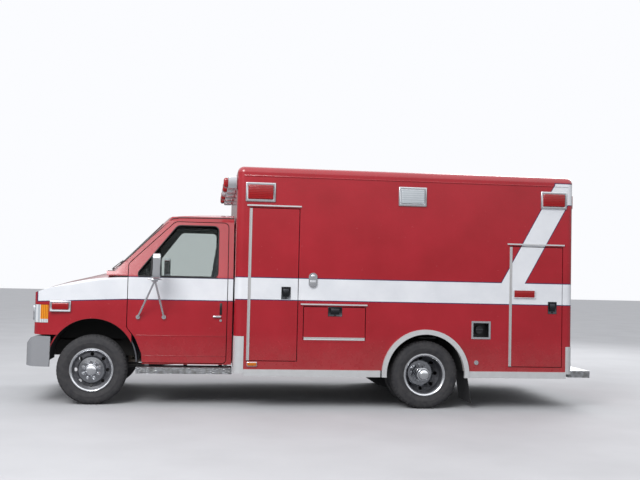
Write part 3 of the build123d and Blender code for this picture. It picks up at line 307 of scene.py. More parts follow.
# %% Where the paint ends: inside the cab, inside the module and under the arches
CAB_HALF, LEAN_FROM, LEAN, CAB_TOP, CAB_REAR = 962, 1345, 0.2735, 1982, 1450
GLASS_FOOT, RAKE_FROM, RAKE, TWICE_BOW = 172, 1425, 1.01, 8400
ROOM_WALL, ROOM_END, ROOM_TOP = 30, 28, 2498
ARCH_Z, ARCH_R, ARCH_END = 450, 448.5, 1400
APRON = (870, 120, 1085)


def past(tree, z, start, rise):
    """How far a leaning face has come in at a height: nothing up to start, then rise per mm."""
    run = add(tree, "Math", {0: z, 1: rise, 2: -start * rise}, operation="MULTIPLY_ADD")
    return add(tree, "Math", {0: run, 1: 0.0}, operation="MAXIMUM")


def inner_masks(tree):
    """1 on the cab's inner faces, on the module's, and in the front wheel arches."""
    x, y, z = drawing_place(tree)
    lean = past(tree, z, LEAN_FROM, LEAN)
    upright = add(tree, "Math", {0: y, 1: lean}, operation="ADD")
    square = add(tree, "Math", {0: y, 1: y}, operation="MULTIPLY")
    bow = add(tree, "Math", {0: square, 1: 1 / TWICE_BOW, 2: GLASS_FOOT},
              operation="MULTIPLY_ADD")
    rake = past(tree, z, RAKE_FROM, RAKE)
    screen = add(tree, "Math", {0: rake, 1: bow}, operation="ADD")
    cab = every(tree, below(tree, upright, CAB_HALF), below(tree, screen, x),
                below(tree, z, CAB_TOP), below(tree, x, CAB_REAR))
    module = every(tree, below(tree, y, WALL_Y - ROOM_WALL), above(tree, x, MODULE_FRONT + ROOM_END),
                   below(tree, x, MODULE_REAR - ROOM_END), below(tree, z, ROOM_TOP))
    arch = every(tree, below(tree, from_axle(tree, x, z, 0, ARCH_Z), ARCH_R),
                 below(tree, x, ARCH_END))
    apron = every(tree, below(tree, y, APRON[0]), below(tree, x, APRON[1]),
                  below(tree, z, APRON[2]))
    return cab, module, either(tree, arch, apron)


# %% The paint itself
def body_paint(name="sprayed_lacquer_red_and_white", lined=False):
    """Two-stage lacquer over red, with the white belt and its navy edges."""
    made, tree = new_material(name)
    white, height = belt_mask(tree, 0)
    edged, _ = belt_mask(tree, PINSTRIPE)
    cab, module, arch = inner_masks(tree)
    tone = two_tones(tree, grain(tree, 420), "#97131F", "#A31826")
    pale = two_tones(tree, grain(tree, 300), "#D3D6DB", "#E0E2E6")
    low = add(tree, "MapRange", {"Value": height, "From Min": 780.0, "From Max": 380.0})
    dust = every(tree, low, grain(tree, 90, 8.0), 0.22)
    layers = [(edged, colour("#2A2350")), (white, pale), (dust, colour("#8B7C72")),
              (cab, colour("#4B4C52")), (module, colour("#C6C7C3"))]
    if lined:
        layers.append((arch, colour("#0E0E10")))
    for mask, top in layers:
        tone = add(tree, "Mix", {0: mask, 6: tone, 7: top}, data_type="RGBA")
    inner = either(tree, cab, module, arch) if lined else either(tree, cab, module)
    speck = add(tree, "Math", {0: grain(tree, 60), 1: 0.3, 2: dust}, operation="MULTIPLY_ADD")
    rough = add(tree, "MapRange", {"Value": speck, "To Min": 0.2, "To Max": 0.55})
    matt = either(tree, rough, every(tree, inner, 0.6))
    outer = add(tree, "Math", {0: 1.0, 1: inner}, operation="SUBTRACT")
    ripple = add(tree, "Bump", {"Height": grain(tree, 14, 2.0), "Strength": 0.05,
                                "Distance": 1.0 * MM})
    return finish_material(made, add(tree, "BsdfPrincipled", {
        "Base Color": tone, "Roughness": matt, "Normal": ripple,
        "Coat Weight": every(tree, outer, 0.7), "Coat Roughness": 0.06}))


PAINT = body_paint()
FENDER_PAINT = body_paint("sprayed_lacquer_with_black_arch", True)

# %% [markdown]
# ## Metals, rubber, glass and plastics
# Each finish below starts from what the part is made of. Chrome and polished steel are told
# apart by roughness and by how evenly they mirror. Tread plate carries raised bars, drawn as
# cells at the bars' real pitch. Rubber is never black: dust makes it dark grey.


# %% Metals
def metal(name, code, rough, scratch_mm, strength=0.08, tint="#000000", tint_share=0.0, bare=1.0):
    """A bare or plated metal with faint scratches; bare is its share of plain metal, and the rest
    shows its colour matt, a painted sheen standing in for bright sky mirrored in it.
    """
    made, tree = new_material(name)
    tone = add(tree, "Mix", {0: every(tree, grain(tree, 70, 8.0), tint_share), 6: colour(code),
                             7: colour(tint)}, data_type="RGBA")
    fine = grain(tree, scratch_mm, 6.0)
    sheen = add(tree, "MapRange", {"Value": fine, "To Min": rough[0], "To Max": rough[1]})
    scratch = add(tree, "Bump", {"Height": fine, "Strength": strength, "Distance": 0.4 * MM})
    return finish_material(made, add(tree, "BsdfPrincipled", {
        "Base Color": tone, "Metallic": bare, "Roughness": sheen, "Normal": scratch}))


# Chrome, stainless steel and aluminium are only partly plain metal: the rest shows their pale colour
# matt, a painted sheen that makes them look as bright as the sky they mirror.
CHROME = metal("chromium_plate", "#DADCE0", (0.05, 0.16), 25, bare=0.75)
STAINLESS = metal("polished_stainless_steel", "#D9D9DA", (0.12, 0.3), 12, 0.08, "#8E867E", 0.2, 0.5)
ALUMINIUM = metal("brushed_aluminium", "#DDDFE1", (0.22, 0.4), 9, 0.15, "#8B877F", 0.25, 0.4)
EXHAUST = metal("aluminised_steel", "#8E857B", (0.35, 0.6), 10, 0.2, "#4A3A30", 0.7)
CASTING = metal("cast_iron", "#4C4A48", (0.5, 0.75), 5, 0.5, "#2A2320", 0.8)
DARK_NICKEL = metal("black_nickel_plate", "#4A4C50", (0.2, 0.35), 10)

# %% Wheel steel
DISH = (143, 209)


def wheel_steel():
    """Steel wheels: plated at the middle and the lip, and dark grey where the disc is dished, which
    is painted shade for the recess.
    """
    made, tree = new_material("plated_wheel_steel_with_painted_dish_shade")
    x, _, z = drawing_place(tree)
    reach = add(tree, "Math", {0: from_axle(tree, x, z, 0, HUB_Z),
                               1: from_axle(tree, x, z, REAR_X, HUB_Z)}, operation="MINIMUM")
    dished = every(tree, above(tree, reach, DISH[0]), below(tree, reach, DISH[1]))
    grime = grain(tree, 30, 8.0)
    # Painted shade: the recessed dish is given a dark grey, with less metal and more roughness,
    # where shade falls in it.
    painted_dish_shade = two_tones(tree, grime, "#3A3B3F", "#5C5D62")
    plated = two_tones(tree, grime, "#BFC1C5", "#DADCE0")
    tone = add(tree, "Mix", {0: dished, 6: plated, 7: painted_dish_shade}, data_type="RGBA")
    bare = add(tree, "Math", {0: dished, 1: -0.6, 2: 1.0}, operation="MULTIPLY_ADD")
    sheen = add(tree, "Math", {0: grime, 1: 0.16, 2: 0.05}, operation="MULTIPLY_ADD")
    rough = add(tree, "Math", {0: dished, 1: 0.3, 2: sheen}, operation="MULTIPLY_ADD")
    pitted = add(tree, "Bump", {"Height": grime, "Strength": 0.08, "Distance": 0.4 * MM})
    return finish_material(made, add(tree, "BsdfPrincipled", {
        "Base Color": tone, "Metallic": bare, "Roughness": rough, "Normal": pitted}))


WHEEL = wheel_steel()

# %% Tread plate
LOZENGE = 22


def tread_plate():
    """Rolled aluminium sheet with raised lozenges in two directions."""
    made, tree = new_material("diamond_tread_plate")
    askew = add(tree, "Mapping", {"Vector": object_point(tree), "Rotation": (0.785, 0.785, 0.785)})
    cells = add(tree, "TexVoronoi", {"Vector": askew, "Scale": 1000 / LOZENGE},
                feature="DISTANCE_TO_EDGE", distance="CHEBYCHEV").outputs["Distance"]
    raised = add(tree, "MapRange", {"Value": cells, "From Min": 0.12, "From Max": 0.3})
    worn = add(tree, "MapRange", {"Value": grain(tree, 8), "To Min": 0.22, "To Max": 0.42})
    return finish_material(made, add(tree, "BsdfPrincipled", {
        "Base Color": two_tones(tree, grain(tree, 50, 8.0), "#8C8B88", "#C9CBCE", 0.25, 0.6),
        "Metallic": 1.0, "Roughness": worn,
        "Normal": add(tree, "Bump", {"Height": raised, "Strength": 0.7, "Distance": 2.0 * MM})}))


TREAD_PLATE = tread_plate()


# %% Paint underneath, rubber and plastics
def dull(name, dark, light, size_mm, rough=(0.5, 0.75), strength=0.2, coat=0.0):
    """A matt finish of two close tones with a fine texture."""
    made, tree = new_material(name)
    spots = grain(tree, size_mm, 6.0)
    sheen = add(tree, "MapRange", {"Value": spots, "To Min": rough[0], "To Max": rough[1]})
    texture = add(tree, "Bump", {"Height": grain(tree, size_mm / 12, 3.0), "Strength": strength,
                                 "Distance": 0.5 * MM})
    return finish_material(made, add(tree, "BsdfPrincipled", {
        "Base Color": two_tones(tree, spots, dark, light), "Roughness": sheen,
        "Normal": texture, "Coat Weight": coat}))


CHASSIS = dull("chassis_enamel", "#17171A", "#2C2926", 60)
TYRE = dull("tyre_rubber", "#26262A", "#3B3A3B", 45, (0.7, 0.9), 0.35)
RUBBER = dull("black_rubber", "#141416", "#232325", 30, (0.55, 0.8))
PLASTIC = dull("grained_plastic", "#26272B", "#35363A", 20, (0.45, 0.6), 0.4)
LINER = dull("bright_laminate", "#BFC0BC", "#D2D2CE", 200, (0.25, 0.4), 0.05)
VINYL = dull("upholstery_vinyl", "#33343A", "#454750", 50, (0.4, 0.55), 0.5)
BLACK = dull("black_enamel", "#0B0B0D", "#161618", 60, (0.3, 0.45), 0.05, 0.4)

# %% The module's floor
FLOOR_Z, WHEEL_HOUSE_Z, WHEEL_HOUSE_R = 785, 372, 432


def floor_liner():
    """Bright laminate in the room, black undercoat below the floor and in the rear arches."""
    made, tree = new_material("laminate_over_undercoat")
    x, _, z = drawing_place(tree)
    reach = from_axle(tree, x, z, REAR_X, WHEEL_HOUSE_Z)
    under = either(tree, below(tree, z, FLOOR_Z), below(tree, reach, WHEEL_HOUSE_R))
    spots = grain(tree, 120, 6.0)
    tone = add(tree, "Mix", {0: under, 6: two_tones(tree, spots, "#BFC0BC", "#D2D2CE"),
                             7: two_tones(tree, spots, "#141416", "#242322")}, data_type="RGBA")
    rough = add(tree, "Math", {0: under, 1: 0.4, 2: 0.35}, operation="MULTIPLY_ADD")
    texture = add(tree, "Bump", {"Height": grain(tree, 6), "Strength": 0.2, "Distance": 0.5 * MM})
    return finish_material(made, add(tree, "BsdfPrincipled", {
        "Base Color": tone, "Roughness": rough, "Normal": texture}))


FLOOR_LINER = floor_liner()


# %% Window glass
def window_glass():
    """Tinted toughened glass: a thin pane, so it lets light through without bending it."""
    made, tree = new_material("toughened_glass")
    smear = add(tree, "MapRange", {"Value": grain(tree, 160, 6.0), "To Min": 0.0, "To Max": 0.06})
    gloss = add(tree, "BsdfPrincipled", {"Base Color": colour("#2B3331"), "Roughness": smear,
                                         "Coat Weight": 0.8})
    clear = add(tree, "BsdfTransparent", {"Color": colour("#F1F4F3")})
    edge = add(tree, "Fresnel", {"IOR": 1.45})
    share = add(tree, "MapRange", {"Value": edge, "To Min": 0.07, "To Max": 1.0})
    return finish_material(made, add(tree, "MixShader", {0: share, 1: clear, 2: gloss}))


GLASS = window_glass()


# %% Lamp lenses
UPRIGHT, LEVEL = (1, 1, 0), (0, 0, 1)


def ribs(tree, way, pitch_mm):
    """A wave across ribs that are a pitch apart."""
    run = add(tree, "VectorMath", {0: object_point(tree), 1: way}, operation="DOT_PRODUCT")
    turns = add(tree, "Math", {0: run, 1: math.tau * 1000 / pitch_mm}, operation="MULTIPLY")
    return add(tree, "Math", {0: turns}, operation="SINE")


def lens(name, deep, bright, clear_share, rib_mm=9):
    """A moulded lens with fine upright ribs that scatter the lamp's light; its colour is painted
    shade in the rib valleys and a painted highlight on the crests.
    """
    made, tree = new_material(name)
    rows = every(tree, ribs(tree, LEVEL, rib_mm * 2), 0.4)
    height = add(tree, "Math", {0: ribs(tree, UPRIGHT, rib_mm), 1: 0.5, 2: rows},
                 operation="MULTIPLY_ADD")
    # Painted light: the colour runs from the deep tone in the rib valleys, painted shade, to the
    # bright tone on the crests, a painted highlight.
    shade = add(tree, "MapRange", {"Value": height, "To Min": 0.35, "To Max": 0.65})
    ribbed = add(tree, "Bump", {"Height": height, "Strength": 0.35, "Distance": 1.2 * MM})
    return finish_material(made, add(tree, "BsdfPrincipled", {
        "Base Color": two_tones(tree, shade, deep, bright), "Roughness": 0.12,
        "Coat Weight": 0.5, "Transmission Weight": clear_share, "Normal": ribbed}))


# Each lens gets a deep colour as painted shade in its rib valleys and a bright one as a painted
# highlight on its crests.
RED_LENS = lens("red_polycarbonate", "#7A0A0E", "#D8252A", 0.15)
CLEAR_LENS = lens("clear_polycarbonate", "#AEB6BC", "#F2F5F7", 0.25, 12)
AMBER_LENS = lens("amber_polycarbonate", "#B5570A", "#F59A1E", 0.15)

# %% Headlamp moulding
AMBER_FROM = (-536, 884)
FLUTE = 16


def headlamp_lens():
    """One moulding: a clear fluted front, and amber where the turn signal wraps to the side; in
    both, the colour is painted shade in the flutes' hollows and a painted highlight on their crests.
    """
    made, tree = new_material("clear_and_amber_polycarbonate")
    x, _, z = drawing_place(tree)
    amber = every(tree, above(tree, x, AMBER_FROM[0]), above(tree, z, AMBER_FROM[1]))
    flutes = ribs(tree, UPRIGHT, FLUTE)
    # Painted light: the colour follows the flutes, darker in their hollows as painted shade and
    # lighter on their crests as a painted highlight.
    shade = add(tree, "MapRange", {"Value": flutes, "To Min": 0.35, "To Max": 0.65})
    tone = add(tree, "Mix", {0: amber, 6: two_tones(tree, shade, "#A9B0B6", "#EEF1F3"),
                             7: two_tones(tree, shade, "#C4650C", "#FFB02E")}, data_type="RGBA")
    fluted = add(tree, "Bump", {"Height": flutes, "Strength": 0.3, "Distance": 1.5 * MM})
    return finish_material(made, add(tree, "BsdfPrincipled", {
        "Base Color": tone, "Roughness": 0.1, "Coat Weight": 0.6, "Transmission Weight": 0.12,
        "Normal": fluted}))


HEADLAMP = headlamp_lens()

# %% [markdown]
# ## Finishes of the solids
# Each solid that keeps its own shape gets its finish in its material slots. Its mesh and its
# place are left alone. Faces that meet at a shallow angle already shade smoothly, because
# the solids were cut finely enough.

# %% One finish for each solid
FINISHES = {
    FENDER_PAINT: "front_fenders",
    PAINT: "cab_shell hood cab_door_left cab_door_right module_left_wall module_right_wall "
           "module_front_wall module_rear_wall module_roof left_front_locker_door "
           "left_middle_locker_door left_rear_locker_door right_rear_locker_door entry_door "
           "rear_door_left rear_door_right",
    CHASSIS: "frame_rails front_axle rear_axle drive_shaft knuckle_left knuckle_right "
             "fuel_tank radiator_panel",
    CASTING: "engine_block",
    EXHAUST: "exhaust",
    GLASS: "windshield cab_glass_left cab_glass_right entry_glass rear_glass_left rear_glass_right",
    CHROME: "grille front_bumper mirror_left mirror_right side_fittings lamp_housings",
    WHEEL: "front_wheel_left front_wheel_right rear_wheels_left rear_wheels_right",
    TYRE: "front_tyre_left front_tyre_right rear_tyres_left rear_tyres_right",
    RUBBER: "mud_flaps",
    ALUMINIUM: "skirt_trim locker_boxes",
    TREAD_PLATE: "running_boards rear_step",
    PLASTIC: "cab_interior plate_bracket",
    LINER: "cabinets",
    FLOOR_LINER: "module_floor",
    VINYL: "cushions",
    RED_LENS: "red_lenses",
    CLEAR_LENS: "clear_lenses",
    HEADLAMP: "headlamps",
}
for finish, names in FINISHES.items():
    for name in names.split():
        mesh = nodes[name].data
        mesh.materials.clear()
        mesh.materials.append(finish)
print("finishes", len(FINISHES))

# %% [markdown]
# ## Modelling helpers
# Every added piece starts as a bmesh: a block whose edges are beveled, a rod, or a profile
# that is spun round an axle. One function then turns it into an object, smooths what is
# round, and lets it ride on its body.


# %% From bmesh to a riding piece
def piece(name, form, body, finish, sharp=38, replaced=()):
    """Makes the object, in place, and lets it ride on a body."""
    bmesh.ops.recalc_face_normals(form, faces=form.faces)
    made = as_object(name, form)
    made.data.materials.append(finish)
    made.data.shade_smooth()
    made.data.set_sharp_from_angle(angle=math.radians(sharp))
    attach(made, body)
    if replaced:
        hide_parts(*replaced)
    return made


def block(form, x, y, z, radius=0.0, segments=3):
    """A box of the drawing, its edges rounded."""
    low, high = at(x[0], y[0], z[0]), at(x[1], y[1], z[1])
    verts = bmesh.ops.create_cube(form, size=1)["verts"]
    bmesh.ops.scale(form, vec=high - low, verts=verts)
    bmesh.ops.translate(form, vec=(low + high) / 2, verts=verts)
    if radius:
        edges = list({edge for vert in verts for edge in vert.link_edges})
        bmesh.ops.bevel(form, geom=edges, offset=radius * MM, segments=segments, profile=0.5,
                        affect="EDGES", material=-1)


def rod(form, radius, start, end, segments=16, tip=None):
    """A round bar between two points of the drawing; tip is its radius at the far end."""
    a, b = at(*start), at(*end)
    way = b - a
    place = Matrix.Translation((a + b) / 2) @ way.to_track_quat("Z", "Y").to_matrix().to_4x4()
    far = radius if tip is None else tip
    bmesh.ops.create_cone(form, cap_ends=True, segments=segments, radius1=radius * MM,
                          radius2=far * MM, depth=way.length, matrix=place)


def lathe(form, profile, centre, axis, steps=64):
    """A profile of (radius, along) spun round an axis through a point of the drawing."""
    axis = Vector(axis)
    side = axis.orthogonal().normalized()
    middle = at(*centre)
    verts = [form.verts.new(middle + side * r * MM + axis * s * MM) for r, s in profile]
    edges = [form.edges.new(pair) for pair in zip(verts, verts[1:])]
    bmesh.ops.spin(form, geom=verts + edges, cent=middle, axis=axis, angle=math.tau, steps=steps,
                   use_merge=True)
    bmesh.ops.remove_doubles(form, verts=form.verts, dist=0.00002)


SIDES = ((-1, "left"), (1, "right"))


def both_sides(build):
    """Runs a building function for the driver's side, -1, and the kerb side, 1."""
    for side, word in SIDES:
        build(side, word)


def span(side, near, far):
    """Low and high Y of what lies between two distances from the middle on one side."""
    return tuple(sorted((side * near, side * far)))


# %% [markdown]
# ## Tyres
# A highway tyre has ribs with narrow grooves between them and blocks at its shoulders. The
# cross-section is spun round the axle, and then every second shoulder face is inset and
# pushed in, which cuts the shoulder blocks without any drawn tread.

# %% Tyre profile and tread
TYRE_R, BEAD_R = 362, 206
TREAD_GAP = 0.6
GROOVES = (-58, -20, 20, 58)
GROOVE_DEPTH, GROOVE_HALF = 9, 5
TREAD_STEPS = 112
SHOULDER_R, SHOULDER = 338, (64, 99)


def tyre_profile():
    """Half the section from the bead over the tread, as (radius, out), then mirrored."""
    wall = [(BEAD_R, 80), (214, 91), (226, 95), (231, 93), (238, 97), (262, 107), (284, 110.5),
            (289, 108.5), (306, 110), (322, 106.5), (340, 99), (352, 91), (359.5, 84)]
    groove = ((GROOVE_HALF, 0), (GROOVE_HALF - 1, GROOVE_DEPTH),
              (1 - GROOVE_HALF, GROOVE_DEPTH), (-GROOVE_HALF, 0))
    tread = [(TYRE_R - TREAD_GAP - depth, middle + step)
             for middle in reversed(GROOVES) for step, depth in groove]
    return wall + tread + [(r, -out) for r, out in reversed(wall)]


def on_shoulder(face, centres):
    """True for every second face round the shoulder of one of the tyres."""
    for centre in centres:
        arm = face.calc_center_median() - at(*centre)
        step = round(math.atan2(arm.z, arm.x) / math.tau * TREAD_STEPS - 0.5)
        if (math.hypot(arm.x, arm.z) > SHOULDER_R * MM and step % 2
                and SHOULDER[0] * MM < abs(arm.y) < SHOULDER[1] * MM):
            return True
    return False


def make_tyre(name, centres, body, replaced):
    form = bmesh.new()
    for centre in centres:
        lathe(form, tyre_profile(), centre, (0, 1, 0), steps=TREAD_STEPS)
    shoulder = [face for face in form.faces if on_shoulder(face, centres)]
    bmesh.ops.inset_region(form, faces=shoulder, thickness=1.2 * MM, depth=-6 * MM,
                           use_even_offset=True)
    return piece(name, form, body, TYRE, 30, replaced)


FRONT_Y, REAR_Y, TWIN = 881, 945.5, 132


def tyres(side, word):
    make_tyre("front_tyre_tread_" + word, [(0, side * FRONT_Y, HUB_Z)], "front_wheel_" + word,
              ["front_tyre_" + word])
    twins = [(REAR_X, side * (REAR_Y + out), HUB_Z) for out in (-TWIN, TWIN)]
    make_tyre("rear_tyre_treads_" + word, twins, "rear_wheels_" + word, ["rear_tyres_" + word])


both_sides(tyres)
print("tyres made")

# %% [markdown]
# ## Wheel dressing
# Over the steel wheel, whose dark grey dish is painted shade, sits a polished cover: a rolled
# ring at the rim, a domed middle, covers on the nuts and a cap on the hub. Rings and caps are
# spun, and the nut covers are small cones set round a circle.

# %% Rings, caps and nut covers
NUTS, NUT_CIRCLE = 8, 84
RIM_RING = ((226, 92), (227, 99), (224, 104), (217, 105), (208, 100), (201, 90), (197, 76),
            (203, 80), (212, 91), (226, 92))
HUB_CAP = ((0, 15), (18, 14), (34, 11), (50, 2), (57, -10), (60, -40), (68, -41), (69, -38))


def wheel_dressing(side, word):
    rows = (("front_wheel_" + word, (0, side * FRONT_Y, HUB_Z), 112, 128),
            ("rear_wheels_" + word, (REAR_X, side * (REAR_Y + TWIN), HUB_Z), -98, 86))
    for body, centre, nut_out, cap_out in rows:
        axis = (0, side, 0)
        form = bmesh.new()
        lathe(form, RIM_RING, centre, axis, 96)
        lathe(form, [(r, cap_out + along) for r, along in HUB_CAP], centre, axis, 48)
        for index in range(NUTS):
            angle = math.tau * (index + 0.5) / NUTS
            x = centre[0] + NUT_CIRCLE * math.cos(angle)
            z = centre[2] + NUT_CIRCLE * math.sin(angle)
            y0 = centre[1] + side * (nut_out - 6)
            rod(form, 17, (x, y0, z), (x, y0 + side * 16, z), 20)
            rod(form, 15.5, (x, y0 + side * 16, z), (x, y0 + side * 25, z), 20, 8)
        piece("wheel_cover_" + body, form, body, CHROME, 32)


both_sides(wheel_dressing)

# %% [markdown]
# ## Lamps
# A surface lamp is a plated bezel with rounded corners round a ribbed lens that bulges. The
# bezel is one beveled block whose front face is inset and pushed in; the lens is a second
# block with softer edges. Tables give the lamps' places, and one function makes them.

# %% Bezels and lenses
SIDE_LAMPS = ((1549, 1863, 2158, 2360, "red"), (3180, 3486, 2160, 2366, "clear"),
              (4760, 5055, 2180, 2368, "red"))
REAR_LAMPS = ((820, 1110, 2180, 2360, "red"), (900, 1090, 660, 760, "red"),
              (720, 880, 660, 760, "clear"))
FRONT_LAMPS = ((-1060, "red"), (-530, "red"), (0, "clear"), (530, "red"), (1060, "red"))
FENDER_LAMP = ((-439, -224), (1001, 1024), (963, 1078))
AMBER_MARKER = ((1602, 1711), 14, (438, 486))
BEZEL_OUT, BEZEL_EDGE = 17, 7
BORDER, REAR_BORDER, FENDER_BORDER, MARKER_BORDER = 25, 14, 22, 7
SMALL_BORDER, SMALL_LENS_OUT, LENS_OUT = 12, 22, 33
bezels = bmesh.new()
lenses = {tone: bmesh.new() for tone in ("red", "clear", "amber")}


def push_face(form, way, inset, depth):
    """Insets the face that looks along a direction, and pushes it in."""
    faces = [face for face in form.faces if face.normal.dot(way) > 0.999]
    largest = max(faces, key=lambda face: face.calc_area())
    bmesh.ops.inset_region(form, faces=[largest], thickness=inset * MM, use_even_offset=True)
    bmesh.ops.translate(form, verts=largest.verts, vec=Vector(way) * -depth * MM)


def join(target, form):
    """Adds a finished small form to a larger one."""
    mesh = bpy.data.meshes.new("part")
    form.to_mesh(mesh)
    form.free()
    target.from_mesh(mesh)
    bpy.data.meshes.remove(mesh)


def lamp(x, y, z, way, tone, border):
    """A lamp whose bezel fills the box and looks along way."""
    large = border > SMALL_BORDER
    reach, edge = (LENS_OUT, 12) if large else (SMALL_LENS_OUT, 6)
    form = bmesh.new()
    block(form, x, y, z, BEZEL_EDGE, 3)
    form.normal_update()
    push_face(form, way, border - BEZEL_EDGE, 6)
    join(bezels, form)
    glass = []
    for (low, high), step in zip((x, y, z), way):
        base = low if step > 0 else high
        out = sorted((base, base + step * reach))
        glass.append(out if step else (low + border, high - border))
    form = bmesh.new()
    block(form, *glass, edge, 4)
    join(lenses[tone], form)


def side_lamps(side, word):
    outward = (0, side, 0)
    for x0, x1, z0, z1, tone in SIDE_LAMPS:
        lamp((x0, x1), span(side, WALL_Y, WALL_Y + BEZEL_OUT), (z0, z1), outward, tone, BORDER)
    x, out, z = AMBER_MARKER
    lamp(x, span(side, WALL_Y, WALL_Y + out), z, outward, "amber", MARKER_BORDER)
    for y0, y1, z0, z1, tone in REAR_LAMPS:
        lamp((MODULE_REAR, MODULE_REAR + BEZEL_OUT), span(side, y0, y1), (z0, z1), (1, 0, 0),
             tone, REAR_BORDER)
    x, y, z = FENDER_LAMP
    lamp(x, span(side, *y), z, outward, "red", FENDER_BORDER)


both_sides(side_lamps)

# %% [markdown]
# ## Front lamps and door markers
# The front lamps stand out on pods, so that the cab's roof doesn't hide them. All fixed lamps
# become one piece to each finish, and a marker on a door is its own piece, to swing with it.

# %% Front lamps, and one piece to each finish
POD_OUT, POD_HALF, POD_Z = 98, 100, (2290, 2424)
POD_LENS_OUT, POD_LENS_IN, POD_LENS_HALF, POD_LENS_Z = 145, 90, 84, (2306, 2408)
for y, tone in FRONT_LAMPS:
    form = bmesh.new()
    block(form, (MODULE_FRONT - POD_OUT, MODULE_FRONT), (y - POD_HALF, y + POD_HALF), POD_Z, 14, 4)
    join(bezels, form)
    form = bmesh.new()
    block(form, (MODULE_FRONT - POD_LENS_OUT, MODULE_FRONT - POD_LENS_IN),
          (y - POD_LENS_HALF, y + POD_LENS_HALF), POD_LENS_Z, 26, 6)
    join(lenses[tone], form)
piece("lamp_bezels", bezels, "root", CHROME, 35, ["lamp_housings"])
piece("lamp_lenses_red", lenses["red"], "root", RED_LENS, 35, ["red_lenses"])
piece("lamp_lenses_clear", lenses["clear"], "root", CLEAR_LENS, 35, ["clear_lenses"])
piece("lamp_lenses_amber", lenses["amber"], "root", AMBER_LENS, 35)

# %% Marker lamps that ride on the rear locker doors
MARKER_X, MARKER_Z, MARKER_OUT = (4466, 4703), (1206, 1290), 21
for side, word in SIDES:
    form = bmesh.new()
    block(form, MARKER_X, span(side, WALL_Y, WALL_Y + MARKER_OUT), MARKER_Z, 8, 3)
    piece("marker_lamp_" + word, form, word + "_rear_locker_door", RED_LENS)

# %% [markdown]
# ## Door hardware on the module
# Each door of the module has a plated hinge down one edge and a paddle latch. The latch is a
# beveled plate with its front pushed in and a paddle laid in the dish.


# %% Latches
def latch(name, body, x, z, side, tall):
    """A paddle latch with its dish, upright or level, on a side door."""
    wide, high = (98, 130) if tall else (150, 98)
    form = bmesh.new()
    block(form, (x - wide / 2, x + wide / 2), span(side, WALL_Y, WALL_Y + 6),
          (z - high / 2, z + high / 2), 2.5, 2)
    form.normal_update()
    push_face(form, (0, side, 0), 10, 5)
    block(form, (x - wide * 0.3, x + wide * 0.3), span(side, WALL_Y + 1, WALL_Y + 9),
          (z - high * 0.28, z + high * 0.34), 3, 2)
    rod(form, 9, (x, WALL_Y * side, z - high * 0.38), (x, (WALL_Y + 8) * side, z - high * 0.38), 20)
    piece(name, form, body, DARK_NICKEL)


latch("latch_left_front", "left_front_locker_door", 1996, 1207, -1, True)
latch("latch_left_middle", "left_middle_locker_door", 2520, 1020, -1, False)
latch("latch_left_rear", "left_rear_locker_door", 4905, 1103, -1, True)
latch("latch_right_rear", "right_rear_locker_door", 4905, 1103, 1, True)
latch("latch_entry", "entry_door", 2790, 1207, 1, True)
REAR_LATCH_Y = 60
for side, word in SIDES:
    form = bmesh.new()
    y = side * REAR_LATCH_Y
    block(form, (MODULE_REAR, MODULE_REAR + 6), (y - 40, y + 40), (1150, 1290), 2.5, 2)
    block(form, (MODULE_REAR + 1, MODULE_REAR + 14), (y - 24, y + 24), (1180, 1270), 4, 2)
    piece("latch_rear_door_" + word, form, "rear_door_" + word, CHROME)

# %% Plated hinge strips over the solids' hinge leaves
HINGES = (("left_front_locker_door", -1, 1604, 500, 2090),
          ("left_rear_locker_door", -1, 4428, 464, 1756),
          ("right_rear_locker_door", 1, 4428, 464, 1756), ("entry_door", 1, 2130, 452, 2280))
for body, side, x, z0, z1 in HINGES:
    form = bmesh.new()
    block(form, (x + 1, x + 21), span(side, WALL_Y + 2.5, WALL_Y + 4.5), (z0 + 1, z1 - 1), 0.8, 1)
    rod(form, 5.2, (x - 4, side * (WALL_Y + 4), z0 + 1), (x - 4, side * (WALL_Y + 4), z1 - 1), 12)
    piece("hinge_strip_" + body, form, body, STAINLESS)
form = bmesh.new()
block(form, (2192, 2841), (-WALL_Y - 4.5, -WALL_Y - 2.5), (729, 749), 0.8, 1)
rod(form, 5.2, (2192, -WALL_Y - 4, 724), (2841, -WALL_Y - 4, 724), 12)
piece("hinge_strip_middle", form, "left_middle_locker_door", STAINLESS)

# %% [markdown]
# ## Moulding, filler and inlet
# A thin moulding closes the joint between roof and walls. The fuel cap sits in a lined
# pocket, and the power inlet has a hinged lid.

# %% Roof moulding, filler cap and power inlet
MOULDING_X, MOULDING_Z = (1530, 5070), (2424, 2436)
FILLER_X, FILLER_Z, FILLER_DEEP = (4024, 4196), (774, 926), 108
CAP_X, CAP_Z, CAP_R = 4110, 850, 42
INLET_KNOB = ((0, 18), (14, 17), (22, 13), (27, 4), (28, 0))
form = bmesh.new()
for side, word in SIDES:
    block(form, MOULDING_X, span(side, WALL_Y - 2, WALL_Y + 7), MOULDING_Z, 3, 2)
piece("eaves_moulding", form, "root", PAINT)

form = bmesh.new()
block(form, FILLER_X, (-WALL_Y - 1, -WALL_Y + FILLER_DEEP), FILLER_Z, 2, 1)
form.normal_update()
push_face(form, (0, -1, 0), 3, FILLER_DEEP - 10)
piece("filler_pocket_lining", form, "root", BLACK)

form = bmesh.new()
rod(form, CAP_R, (CAP_X, -WALL_Y + 100, CAP_Z), (CAP_X, -WALL_Y + 62, CAP_Z), 32)
block(form, (CAP_X - 40, CAP_X + 40), (-WALL_Y + 46, -WALL_Y + 64), (CAP_Z - 8, CAP_Z + 8), 4, 2)
piece("filler_cap", form, "root", PLASTIC)

